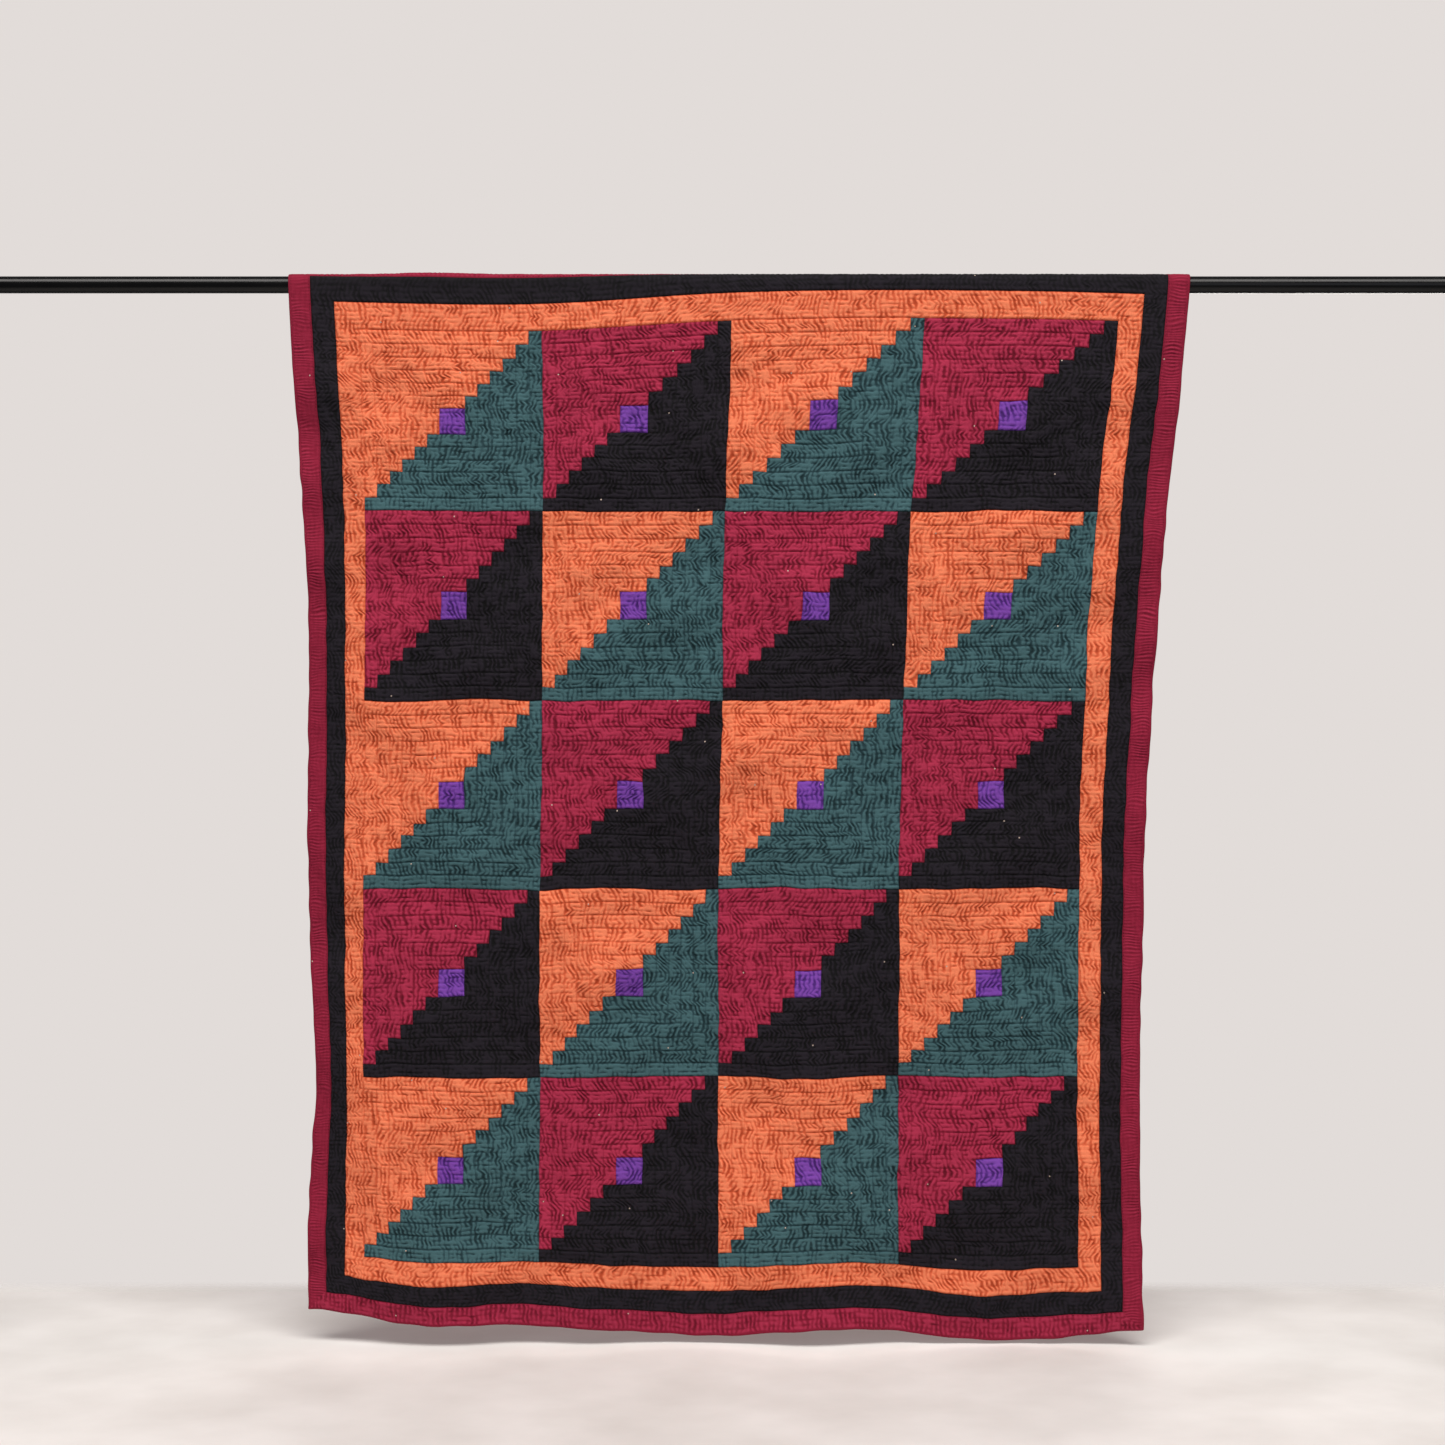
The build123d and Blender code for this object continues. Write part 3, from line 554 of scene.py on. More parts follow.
def plain_woven_cotton(name, painted_ditch_shade, body, ridge_wear_and_painted_highlight, lint="#b9a79a", fuzz=0.08, weave=1.0, gloss=0.2):
    material, tree = new_material(name)
    cloth = add(tree, "ShaderNodeAttribute", attribute_name="cloth")
    tone = add(tree, "ShaderNodeAttribute", attribute_name="tone")
    place = add(tree, "ShaderNodeSeparateXYZ", {0: cloth.outputs["Vector"]})

    def stretched(along, down, detail):
        """Noise stretched into threads, with that many waves per metre each way."""
        scale = {0: cloth.outputs["Vector"], 1: (along, down, 0)}
        scaled = add(tree, "ShaderNodeVectorMath", scale, operation="MULTIPLY")
        threads = {"Vector": scaled.outputs[0], "Scale": 1.0, "Detail": detail}
        return add(tree, "ShaderNodeTexNoise", threads).outputs["Fac"]

    def blend_of(a, b, share):
        return add(tree, "ShaderNodeMath", {0: a, 1: share, 2: b}, operation="MULTIPLY_ADD").outputs[0]

    weft = stretched(45, 650, 2)
    warp = stretched(650, 45, 2)
    faded = stretched(7, 7, 3)
    shade = blend_of(weft, 0.74, 0.20)
    shade = blend_of(warp, shade, 0.16)
    shade = blend_of(faded, shade, 0.16)
    shade = blend_of(tone.outputs["Fac"], shade, 1.0)

    # Painted light and shade: by how high the cloth stands, the colour darkens to the ditch colour in
    # creases and seams and lightens to the ridge colour on puffs; the ridge colour is partly rub wear.
    painted_relief_shade = add(tree, "ShaderNodeValToRGB", {"Fac": place.outputs["Z"]})
    stops = painted_relief_shade.color_ramp.elements
    stops[0].position, stops[0].color = 0.06, linear(painted_ditch_shade)
    stops[1].position, stops[1].color = 0.80, linear(ridge_wear_and_painted_highlight)
    middle = stops.new(0.44)
    middle.color = linear(body)
    dye_and_painted_shade_inputs = {0: painted_relief_shade.outputs["Color"], "Scale": shade}
    dye_and_painted_shade = add(tree, "ShaderNodeVectorMath", dye_and_painted_shade_inputs, operation="SCALE").outputs[0]

    scatter = {"Vector": cloth.outputs["Vector"], "Scale": 5.0}
    speck = add(tree, "ShaderNodeTexVoronoi", scatter, voronoi_dimensions="2D")
    near = {0: speck.outputs["Distance"], 1: 0.007}
    is_speck = add(tree, "ShaderNodeMath", near, operation="LESS_THAN")
    linted = {"Factor": is_speck.outputs[0], 6: dye_and_painted_shade, 7: linear(lint)}
    mixed = add(tree, "ShaderNodeMix", linted, data_type="RGBA")

    turn = 2 * math.pi / THREAD
    over = add(tree, "ShaderNodeMath", {0: place.outputs["X"], 1: turn}, operation="MULTIPLY")
    under = add(tree, "ShaderNodeMath", {0: place.outputs["Y"], 1: turn}, operation="MULTIPLY")
    over = add(tree, "ShaderNodeMath", {0: over.outputs[0]}, operation="SINE")
    under = add(tree, "ShaderNodeMath", {0: under.outputs[0]}, operation="SINE")
    woven = add(tree, "ShaderNodeMath", {0: over.outputs[0], 1: under.outputs[0]}, operation="MULTIPLY")
    slubs = blend_of(weft, warp, 1.0)
    high = blend_of(woven.outputs[0], slubs, 0.35)
    bump = add(tree, "ShaderNodeBump", {"Height": high, "Strength": 0.55 * weave, "Distance": 0.25 * MM})
    rough = add(tree, "ShaderNodeMapRange", {"Value": weft, "To Min": 0.82, "To Max": 0.96})
    skin = add(
        tree,
        "ShaderNodeBsdfPrincipled",
        {
            "Base Color": mixed.outputs[2],
            "Roughness": rough.outputs[0],
            "IOR": 1.5,
            "Specular IOR Level": gloss,
            "Sheen Weight": fuzz,
            "Sheen Roughness": 0.5,
            "Normal": bump.outputs[0],
        },
    )
    skin.inputs["Sheen Tint"].default_value = linear(ridge_wear_and_painted_highlight)
    add(tree, "ShaderNodeOutputMaterial", {"Surface": skin.outputs[0]})
    return material


# Each cotton has a painted shade colour for the ditches, its own colour on the body of the cloth,
# and a lighter colour for the ridges, partly rub wear and mostly painted highlight.
COTTON = {
    "orange": plain_woven_cotton("cotton_plain_woven_orange", "#ac4324", "#cf5e3c", "#eb805a"),
    "green": plain_woven_cotton("cotton_plain_woven_teal_green", "#182e32", "#264046", "#406166"),
    "crimson": plain_woven_cotton("cotton_plain_woven_crimson", "#630c21", "#821731", "#a52c49"),
    "black": plain_woven_cotton(
        "cotton_plain_woven_black", "#030204", "#060409", "#1b161f", fuzz=0.03, gloss=0.26
    ),
    "purple": plain_woven_cotton("cotton_plain_woven_purple", "#421f68", "#572d84", "#7742a3"),
}
print(len(COTTON), "cottons")

# %% [markdown]
# ## Sewing the top together
#
# Every block becomes three pieces: its light logs, its dark logs and its centre. Blocks alternate
# between two colour settings, orange with green and crimson with black, like a chessboard. Each
# log was cut on its own, so each gets a slightly different tone. The borders become one piece for
# each side. The quilt hinges a little below the rail, where its sleeve ends. Pieces that cross
# that line stay where they are built, joined to neither body, and the rest ride with the hanging part.

# %% Sort the cells into patches
s_mid = ((S_LINES[1:] + S_LINES[:-1]) / 2)[None, :]
t_mid = ((T_LINES[1:] + T_LINES[:-1]) / 2)[:, None]
cell_count, cell_across, cell_down = border_count(s_mid, t_mid)
cell_right, cell_below = block_place(s_mid, t_mid)
cell_round = np.floor((np.maximum(np.abs(cell_right), np.abs(cell_below)) - CENTRE) / LOG)
cell_inner = CENTRE + LOG * cell_round
is_bottom = cell_below > cell_inner
is_right = (cell_right > cell_inner) & ~is_bottom
is_top = (cell_below < -cell_inner) & ~is_right & ~is_bottom
log_side = np.select([is_bottom, is_right, is_top], [3, 2, 1], 0)
cell_column = np.clip(((s_mid - GRID_S) / BLOCK).astype(int), 0, COLUMNS - 1)
cell_row = np.clip(((t_mid - GRID_T) / BLOCK).astype(int), 0, ROWS - 1)
patch = ((cell_row * COLUMNS + cell_column) * 8 + cell_round.astype(int) + 1) * 4 + log_side
tones = np.random.default_rng(5).uniform(-0.045, 0.045, patch.max() + 1)
in_grid = cell_count > 3 - 1e-6
cell_tone = np.where(in_grid, tones[np.clip(patch, 0, None)], 0.0)
print(len(np.unique(patch[in_grid])), "patches in the blocks")


def sew(name, mask, colour, stands_for, crosses_hinge):
    """Makes one piece from the cells in mask."""
    quads = all_quads[mask]
    used, renumbered = np.unique(quads, return_inverse=True)
    piece = cloth_mesh(
        name, all_points[used], renumbered.reshape(-1, 4), all_flat[used], cell_tone[mask]
    )
    piece.data.materials.append(COTTON[colour])
    if crosses_hinge:
        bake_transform(piece)
    else:
        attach(piece, "quilt_drop")
    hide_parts(*stands_for)


for row in range(ROWS):
    for column in range(COLUMNS):
        here = in_grid & (cell_row == row) & (cell_column == column)
        light, dark = ("orange", "green") if (row + column) % 2 == 0 else ("crimson", "black")
        label = f"block_{row + 1}_{column + 1}"
        is_centre = here & (cell_round < 0)
        is_light = here & (cell_round >= 0) & (log_side < 2)
        is_dark = here & (cell_round >= 0) & (log_side >= 2)
        sew(label + "_light_logs", is_light, light, ["block_logs_" + light], row == 0)
        sew(label + "_dark_logs", is_dark, dark, ["block_logs_" + dark], row == 0)
        sew(label + "_centre", is_centre, "purple", ["block_centres_purple"], row == 0)

# %% Sew the borders
BORDERS = {
    "orange": (2, ["border_orange", "head_border_orange"]),
    "black": (1, ["border_black", "head_border_black"]),
    "crimson": (0, ["binding_crimson", "head_binding"]),
}
for colour, (first, stands_for) in BORDERS.items():
    ring = ~in_grid & (cell_count >= first) & (cell_count < first + 1)
    on_edge = cell_across <= cell_down
    left_half = s_mid < WIDTH / 2
    upper = t_mid < LENGTH / 2
    sides = {
        "left": ring & on_edge & left_half,
        "right": ring & on_edge & ~left_half,
        "top": ring & ~on_edge & upper,
        "bottom": ring & ~on_edge & ~upper,
    }
    for side, mask in sides.items():
        wanted = {"top": stands_for[1:], "bottom": stands_for[:1]}.get(side, stands_for)
        sew(f"border_{colour}_{side}", mask, colour, wanted, side != "bottom")

# %% [markdown]
# ## The binding's edge
#
# The crimson binding is a wide strip folded round the raw edge of all three layers. It is sewn
# down on the front and again on the back. A half-round roll swept round the outline joins the
# pieced side to a strip on the back.


# %% Roll the binding round the edge
EDGE_HEIGHT = 0.45


def outline(step):
    """Points round the quilt's edge, as S, T and the outward direction, turning at each corner."""
    corners = [(0, 0), (0, LENGTH), (WIDTH, LENGTH), (WIDTH, 0), (0, 0)]
    places = []
    for (s0, t0), (s1, t1) in zip(corners, corners[1:]):
        length = abs(s1 - s0) + abs(t1 - t0)
        n = max(2, round(length / step))
        u = np.linspace(0, 1, n + 1)
        out = ((t0 - t1) / length, (s1 - s0) / length)
        angle = math.atan2(out[1], out[0])
        for part in u:
            places.append((s0 + part * (s1 - s0), t0 + part * (t1 - t0), angle))
        for turn in (0.25, 0.5, 0.75):
            places.append((s1, t1, angle - turn * math.pi / 2))
    return np.array(places)


EDGE_STEP = 4 * MM
edge_line = outline(EDGE_STEP)
roll = np.linspace(0, math.pi, 9)
out_by = THICK / 2 * np.sin(roll)
deep_roll = THICK / 2 * (1 - np.cos(roll))
inset = np.array([2, 6, 12, 20, 29, 36, 37]) * MM
deep_strip = THICK + MM * np.array([0.5, 0.7, 0.5, 0.8, 0.6, 0.5, -0.3])
edge_s, edge_t, edge_turn = edge_line[:, :1], edge_line[:, 1:2], edge_line[:, 2:]
roll_s = edge_s + out_by * np.cos(edge_turn)
roll_t = edge_t + out_by * np.sin(edge_turn)
strip_s = np.clip(edge_s, inset, WIDTH - inset)
strip_t = np.clip(edge_t, inset, LENGTH - inset)
edge_flat_s = np.concatenate([roll_s, strip_s], axis=1)
edge_flat_t = np.concatenate([roll_t, strip_t], axis=1)
edge_deep = np.broadcast_to(np.concatenate([deep_roll, deep_strip]), edge_flat_s.shape)
edge_points = hang(edge_flat_s, edge_flat_t, edge_deep)
edge_quads = grid_quads(*edge_flat_s.shape)[..., ::-1].reshape(-1, 4)
edge_flat = np.stack([edge_flat_s, edge_flat_t, np.full(edge_flat_s.shape, EDGE_HEIGHT)], axis=-1)
binding_edge = cloth_mesh(
    "binding_edge", edge_points.reshape(-1, 3), edge_quads, edge_flat.reshape(-1, 3)
)


def weld(piece):
    """Joins the points that lie on top of each other, as at the binding's corners."""
    work = bmesh.new()
    work.from_mesh(piece.data)
    bmesh.ops.remove_doubles(work, verts=work.verts, dist=1e-6)
    work.to_mesh(piece.data)
    work.free()
    piece.data.shade_smooth()


weld(binding_edge)
binding_edge.data.materials.append(COTTON["crimson"])
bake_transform(binding_edge)
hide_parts("binding_crimson", "head_binding")
print("binding edge has", len(binding_edge.data.polygons), "faces")

# %% [markdown]
# The binding is held by running stitches in a slightly darker thread, about 6 mm apart: one row
# close to its inner edge all the way round, and one close to the outer edge at the sides. Each
# stitch is a small six-sided grain of thread, laid along its row and half sunk into the cloth.


# %% Lay the binding's stitches
RINGS, SIDES = 5, 6
STITCH_LENGTH, STITCH_RADIUS = 3.0 * MM, 0.34 * MM
SUNK = 0.15 * MM
THREAD_HEIGHT = 0.3


def stitches(s, t, ds, dt, length, radius):
    """Grains of thread at S, T that point along (ds, dt), as points and faces."""
    middle = hang(s, t, -SUNK)
    along = hang(s + 2 * MM * ds, t + 2 * MM * dt, -SUNK) - middle
    along /= np.linalg.norm(along, axis=-1, keepdims=True)
    up = hang(s, t, -1 * MM) - hang(s, t, 0.0)
    up /= np.linalg.norm(up, axis=-1, keepdims=True)
    across = np.cross(along, up)
    places = np.array([-1, -0.75, 0.0, 0.75, 1])
    sizes = np.array([0.35, 0.85, 1, 0.85, 0.35])
    sinks = np.array([-0.7, 0.0, 0.25, 0.0, -0.7]) * radius
    turn = np.arange(SIDES) * math.pi / 3
    rings = []
    for place, size, sink in zip(places, sizes, sinks):
        ring = middle[:, None] + along[:, None] * (place * length / 2) + up[:, None] * sink
        ring = ring + radius * size * (
            across[:, None] * np.cos(turn)[:, None] + up[:, None] * np.sin(turn)[:, None]
        )
        rings.append(ring)
    points = np.concatenate(rings, axis=1)
    quads = []
    for r in range(RINGS - 1):
        first = SIDES * r
        for k in range(SIDES):
            n = (k + 1) % SIDES
            quads.append([first + k, first + n, first + SIDES + n, first + SIDES + k])
    end = SIDES * (RINGS - 1)
    quads += [[3, 2, 1, 0], [5, 4, 3, 0]]
    quads += [[end, end + 1, end + 2, end + 3], [end, end + 3, end + 4, end + 5]]
    every_stitch = np.array(quads)[None] + RINGS * SIDES * np.arange(len(s))[:, None, None]
    return points.reshape(-1, 3), every_stitch.reshape(-1, 4)


PITCH = 5.8 * MM
OUTER_ROW, INNER_ROW, HEM_ROW = 3.5 * MM, 36.5 * MM, 35.5 * MM
down_t = np.arange(6 * MM, LENGTH - 6 * MM, PITCH)
over_s = np.arange(45 * MM, WIDTH - 45 * MM, PITCH)
side_rows = [OUTER_ROW, INNER_ROW, WIDTH - INNER_ROW, WIDTH - OUTER_ROW]
over_rows = [INNER_ROW, LENGTH - HEM_ROW]
stitch_s = np.concatenate([np.repeat(side_rows, len(down_t)), np.tile(over_s, 2)])
stitch_t = np.concatenate([np.tile(down_t, 4), np.repeat(over_rows, len(over_s))])
is_down = np.arange(len(stitch_s)) < len(side_rows) * len(down_t)
jitter = np.random.default_rng(8).uniform(-0.5 * MM, 0.5 * MM, (2, len(stitch_s)))
points, quads = stitches(
    stitch_s + jitter[0],
    stitch_t + jitter[1],
    np.where(is_down, 0.0, 1.0),
    np.where(is_down, 1.0, 0.0),
    STITCH_LENGTH,
    STITCH_RADIUS,
)
flat = np.stack([stitch_s, stitch_t, np.full(len(stitch_s), THREAD_HEIGHT)], axis=-1)
flat = np.repeat(flat, RINGS * SIDES, axis=0)
binding_stitches = cloth_mesh("binding_stitches", points, quads, flat)
binding_stitches.data.materials.append(
    plain_woven_cotton("cotton_thread_dark_crimson", "#3a0a18", "#5a1226", "#6e1c33", weave=0.3)
)
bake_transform(binding_stitches)
print(len(stitch_s), "stitches in the binding")

# %% [markdown]
# ## The backing
#
# The back of the quilt is one sheet of plain crimson cotton. The rows of quilting show here too, as
# shallow puffs. It is a sheet of the quilt's flat size, hung from the rail. Wadding lies
# between the two faces and never shows, so it has no mesh of its own. The puffs run out near the
# rail, where they would touch it.

# %% Make the backing
BACK_ROW_CELLS = 3
back_t_lines = divided(widths_down, [n * BACK_ROW_CELLS for n in rows_down])
back_s_lines = np.linspace(0, WIDTH, 129)
bs, bt = back_s_lines[None, :], back_t_lines[:, None]
back_index = np.searchsorted(ROW_LINES, back_t_lines + 1e-7, side="right") - 1
back_index = np.clip(back_index, 0, len(ROW_LINES) - 2)
back_part = ((back_t_lines - ROW_LINES[back_index]) / np.diff(ROW_LINES)[back_index])[:, None]
back_edge = np.minimum(np.minimum(bs, WIDTH - bs), np.minimum(bt, LENGTH - bt))
inside = smooth(back_edge, 34 * MM, 44 * MM) * smooth(bt, 0.075, 0.11)
back_puff = np.sin(math.pi * np.clip(back_part, 0, 1)) ** 0.7 * (1.1 + 0.5 * ripple(bs, bt, 0.05, 51))
back_deep = THICK + MM * (inside * (back_puff + 0.6 * ripple(bs, bt, 0.09, 52)) - 0.2)
back_points = hang(bs, bt, back_deep)
# The third number sets the backing's painted shade and painted highlight: darker between the rows of
# quilting and near the edges, lighter on the puffs.
back_flat = np.stack(np.broadcast_arrays(bs, bt, 0.2 + 0.35 * back_puff * inside), axis=-1)
back_quads = grid_quads(len(back_t_lines), len(back_s_lines))[..., ::-1].reshape(-1, 4)
backing = cloth_mesh("quilt_backing", back_points.reshape(-1, 3), back_quads, back_flat.reshape(-1, 3))
backing.data.materials.append(COTTON["crimson"])
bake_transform(backing)
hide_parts("backing", "wadding", "head_backing", "head_wadding")
print("backing has", len(backing.data.polygons), "faces")

# %% [markdown]
# ## The hanging sleeve
#
# A quilt shown on a rail has a sleeve: a long strip of cotton sewn to the back of the head along
# both its edges, so that it makes a tunnel for the rail. The cloth lies against the quilt, goes
# over the rail, and comes back to its seam below. Its size and place are read from the frame.

# %% Make the sleeve
sleeve_low, sleeve_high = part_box("hanging_sleeve")
SLEEVE_R = RAIL_R + 0.9 * MM
SEAM_DROP = RAIL_Z - sleeve_low.z - 1 * MM
reach = math.hypot(SLEEVE_R, SEAM_DROP)
last_turn = math.atan2(-SEAM_DROP, -SLEEVE_R) + math.acos(SLEEVE_R / reach)
arc = np.linspace(math.pi, last_turn, 34)
touch = SLEEVE_R * np.array([math.cos(last_turn), math.sin(last_turn)])
seam_end = np.array([-SLEEVE_R + 1.2 * MM, -SEAM_DROP])
rise = np.linspace(-SEAM_DROP, 0, 12)[:-1]
fall = np.linspace(0, 1, 16)[1:, None]
profile = np.concatenate(
    [
        np.stack([np.full(11, -SLEEVE_R), rise], axis=1),
        SLEEVE_R * np.stack([np.cos(arc), np.sin(arc)], axis=1),
        touch + fall * (seam_end - touch),
    ]
)
profile_length = np.concatenate([[0], np.cumsum(np.linalg.norm(np.diff(profile, axis=0), axis=1))])
normals = np.gradient(profile, axis=0)[:, ::-1] * np.array([-1, 1])
normals = normals / np.linalg.norm(normals, axis=1, keepdims=True)
sleeve_x = np.linspace(sleeve_low.x, sleeve_high.x, 260)
free = smooth(profile_length, 0.10, 0.14) * (1 - smooth(profile_length, 0.165, 0.185))
u, x = profile_length[:, None], sleeve_x[None, :]
from_end = np.minimum(x - sleeve_low.x, sleeve_high.x - x)
hem_step = 0.5 * MM * (1 - smooth(from_end, 0.011, 0.013))
swell = free[:, None] * MM * (1.6 + 1.6 * ripple(x, u, 0.16, 61) + 0.8 * ripple(x, u, 0.05, 62))
swell = swell + 0.15 * MM * (1 + ripple(x, u, 0.03, 63)) + hem_step
place = profile[:, None, :] + swell[..., None] * normals[:, None, :]
sleeve_points = np.stack(np.broadcast_arrays(x, place[..., 0], RAIL_Z + place[..., 1]), axis=-1)
# The hemmed ends stand a step proud, and the third number makes the cotton's painted relief shade a
# little lighter there, as painted highlight.
sleeve_flat = np.stack(np.broadcast_arrays(x, u, 0.45 + 0.2 * hem_step / MM), axis=-1)
sleeve = cloth_mesh(
    "sleeve", sleeve_points.reshape(-1, 3), grid_quads(len(profile), len(sleeve_x)).reshape(-1, 4),
    sleeve_flat.reshape(-1, 3),
)
sleeve.data.materials.append(COTTON["crimson"])
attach(sleeve, "quilt_head")
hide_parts("hanging_sleeve")
print("sleeve cloth is", round(float(profile_length[-1]) / MM), "mm wide before sewing")

# %% [markdown]
# ## The rack's finishes
#
# The tubes are steel with a satin black powder coat: powder melted into a skin about 0.08 mm
# thick, with a faint orange-peel ripple a few millimetres across and a broad soft highlight.
# Powder coat is a plastic, so it isn't metallic and its IOR is near 1.5.


# %% Powder coat, casting, nylon, rubber and zinc
def moulded_or_coated(name, colour, light, rough, grain_mm, grain_depth_mm, specular=0.5, metal=0.0):
    """A finish whose colour, roughness and fine surface come from grains of a real size."""
    material, tree = new_material(name)
    place = add(tree, "ShaderNodeTexCoord")
    grain = add(
        tree,
        "ShaderNodeTexNoise",
        {"Vector": place.outputs["Object"], "Scale": 1 / (grain_mm * MM), "Detail": 3.0},
    )
    patches = {"Vector": place.outputs["Object"], "Scale": 9.0, "Detail": 5.0}
    worn = add(tree, "ShaderNodeTexNoise", patches)
    colour_ramp = add(tree, "ShaderNodeValToRGB", {"Fac": worn.outputs["Fac"]})
    ends = colour_ramp.color_ramp.elements
    ends[0].position, ends[0].color = 0.35, linear(colour)
    ends[1].position, ends[1].color = 0.75, linear(light)
    spread = {
        "Value": worn.outputs["Fac"],
        "From Min": 0.3,
        "From Max": 0.7,
        "To Min": rough - 0.05,
        "To Max": rough + 0.06,
    }
    roughness = add(tree, "ShaderNodeMapRange", spread)
    grains = {"Height": grain.outputs["Fac"], "Strength": 0.6, "Distance": grain_depth_mm * MM}
    bump = add(tree, "ShaderNodeBump", grains)
    skin = add(
        tree,
        "ShaderNodeBsdfPrincipled",
        {
            "Base Color": colour_ramp.outputs["Color"],
            "Roughness": roughness.outputs[0],
            "Metallic": metal,
            "Specular IOR Level": specular,
            "Normal": bump.outputs[0],
        },
    )
    add(tree, "ShaderNodeOutputMaterial", {"Surface": skin.outputs[0]})
    return material


FINISHES = {
    "coat": moulded_or_coated(
        "powder_coated_steel_satin_black", "#050506", "#09090a", 0.24, 3.0, 0.02, 0.25
    ),
    "cast": moulded_or_coated("powder_coated_cast_alloy_black", "#101011", "#19191a", 0.55, 0.9, 0.12),
    "nylon": moulded_or_coated("moulded_nylon_black", "#141415", "#1c1c1e", 0.5, 0.6, 0.04),
    "rubber": moulded_or_coated("moulded_rubber_black", "#121212", "#1d1c1b", 0.8, 0.8, 0.08, 0.3),
    "zinc": moulded_or_coated("zinc_plated_steel", "#9a9c9e", "#b9babc", 0.32, 1.5, 0.02, 0.5, 1.0),
}
FINISH_OF = {
    "base_bracket": "coat", "mast_collar": "cast", "rail_saddle": "cast", "foot_end_caps": "nylon",
    "rail_end_caps": "nylon", "mast_bushes": "nylon", "height_knob": "nylon", "saddle_knob": "nylon",
    "rubber_glides": "rubber", "base_bolts": "zinc", "socket_screws": "zinc", "saddle_screws": "zinc",
    "joiner_rivets": "zinc", "rail_joiners": "coat", "button_spring": "zinc", "snap_button": "zinc",
    "foot_bar": "coat", "lower_mast": "coat", "upper_mast": "coat", "rail_left": "coat",
    "rail_centre": "coat", "rail_right": "coat",
}
shown = [n for n, o in nodes.items() if not o.hide_render]
for name in shown:
    finish = next(f for start, f in FINISH_OF.items() if name.startswith(start))
    nodes[name].data.materials.clear()
    nodes[name].data.materials.append(FINISHES[finish])
print(len(shown), "CAD nodes finished")

# %% [markdown]
# ## Floor, backdrop and light
#
# The floor is pale, plain, lightly mottled cement, and a little behind the rack it fades into
# the backdrop, which is an even warm white all round. The light is a large soft box high in
# front, a little to the left, as under an open roof: high enough that the upper side of each
# puff is lit and its lower side falls into shade. A weaker broad light in front opens the shadows,
# and a third, low behind, draws the edge of the tubes.

# %% Floor
floor_mesh = bpy.data.meshes.new("floor")
work = bmesh.new()
bmesh.ops.create_grid(work, x_segments=8, y_segments=8, size=9)
work.to_mesh(floor_mesh)
work.free()
floor = bpy.data.objects.new("floor", floor_mesh)
bpy.context.scene.collection.objects.link(floor)
material, tree = new_material("brushed_cement_pale")
place = add(tree, "ShaderNodeTexCoord")
parts = add(tree, "ShaderNodeSeparateXYZ", {0: place.outputs["Object"]})
cloud = add(tree, "ShaderNodeTexNoise", {"Vector": place.outputs["Object"], "Scale": 3.5, "Detail": 8.0})
cement = add(tree, "ShaderNodeValToRGB", {"Fac": cloud.outputs["Fac"]})
ends = cement.color_ramp.elements
ends[0].position, ends[0].color = 0.30, linear("#d6d2cf")
ends[1].position, ends[1].color = 0.65, linear("#e6e3e1")
matt = add(tree, "ShaderNodeBsdfPrincipled", {"Base Color": cement.outputs["Color"], "Roughness": 0.85})
clear = add(tree, "ShaderNodeBsdfTransparent")
behind = add(
    tree, "ShaderNodeMapRange", {"Value": parts.outputs["Y"], "From Min": 0.44, "From Max": 0.56},
    interpolation_type="SMOOTHSTEP",
)
away = add(tree, "ShaderNodeVectorMath", {0: place.outputs["Object"]}, operation="LENGTH")
far = add(
    tree, "ShaderNodeMapRange", {"Value": away.outputs["Value"], "From Min": 1.9, "From Max": 3.2},
    interpolation_type="SMOOTHSTEP",
)
fade = add(tree, "ShaderNodeMath", {0: behind.outputs[0], 1: far.outputs[0]}, operation="MAXIMUM")
surface = add(tree, "ShaderNodeMixShader", {0: fade.outputs[0], 1: matt.outputs[0], 2: clear.outputs[0]})
add(tree, "ShaderNodeOutputMaterial", {"Surface": surface.outputs[0]})
floor_mesh.materials.append(material)
print("floor", [round(v, 1) for v in floor.dimensions])

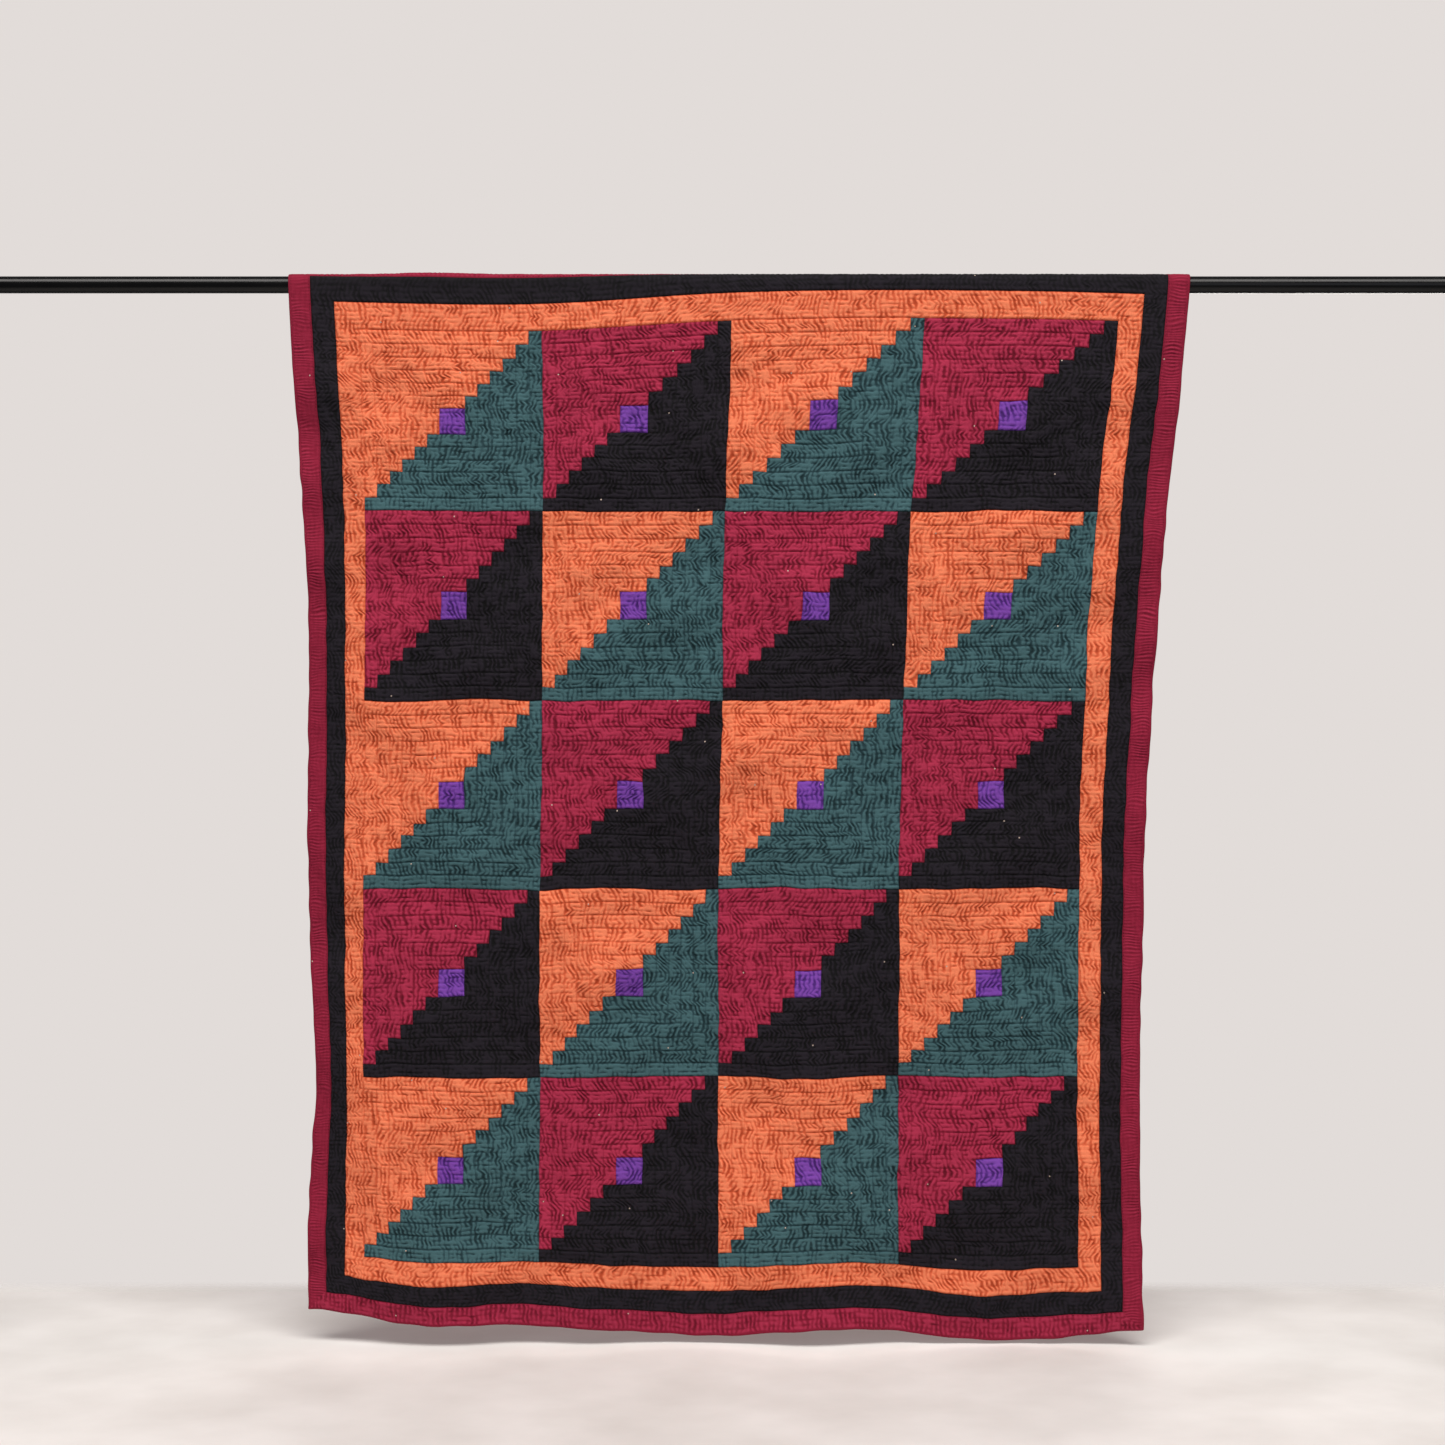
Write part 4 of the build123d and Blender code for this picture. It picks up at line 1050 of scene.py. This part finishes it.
# %% Backdrop and lights
BACKDROP = "#e2dcd9"
world = bpy.data.worlds.new("backdrop")
bpy.context.scene.world = world
world.use_nodes = True
world.node_tree.nodes.clear()
seen = add(world.node_tree, "ShaderNodeBackground", {"Color": linear(BACKDROP), "Strength": 1.0})
lit = add(world.node_tree, "ShaderNodeBackground", {"Color": linear("#e9e6e6"), "Strength": 0.2})
ray = add(world.node_tree, "ShaderNodeLightPath")
both = add(
    world.node_tree, "ShaderNodeMixShader",
    {0: ray.outputs["Is Camera Ray"], 1: lit.outputs[0], 2: seen.outputs[0]},
)
add(world.node_tree, "ShaderNodeOutputWorld", {"Surface": both.outputs[0]})


def soft_box(name, place, aim, size, watts, colour):
    lamp = bpy.data.lights.new(name, "AREA")
    lamp.shape = "RECTANGLE"
    lamp.size, lamp.size_y = size
    lamp.energy = watts
    lamp.color = linear(colour)[:3]
    box = bpy.data.objects.new(name, lamp)
    box.location = place
    box.rotation_mode = "QUATERNION"
    box.rotation_quaternion = (Vector(aim) - Vector(place)).to_track_quat("-Z", "Y")
    box.visible_camera = False
    bpy.context.scene.collection.objects.link(box)
    return box


soft_box("soft_box_high", (-0.2, -4.4, 8.2), (0, 0, 1.0), (9.0, 4.4), 960, "#fffaf6")
soft_box("soft_box_front", (2.5, -7.0, 2.2), (0, 0, 1.0), (5.0, 3.5), 45, "#f4f6ff")
soft_box("soft_box_back", (0.8, 7.0, 2.0), (0, 0, 1.1), (5.0, 2.2), 260, "#fffaf4")
bpy.context.scene.view_settings.view_transform = "Standard"

# %% [markdown]
# ## Camera
#
# The camera stands square in front, five metres off and a little above the quilt's middle, with
# a fairly long lens, so that it looks at every part of the quilt from nearly straight ahead.

# %% Set the camera
camera_data = bpy.data.cameras.new("camera")
camera_data.sensor_width = 36
camera_data.lens = 65.82
camera = bpy.data.objects.new("camera", camera_data)
camera.location = (0, -5.02, 1.1785)
camera.rotation_euler = (math.radians(90), 0, 0)
bpy.context.scene.collection.objects.link(camera)
bpy.context.scene.camera = camera
print("camera at", tuple(round(v, 2) for v in camera.location))
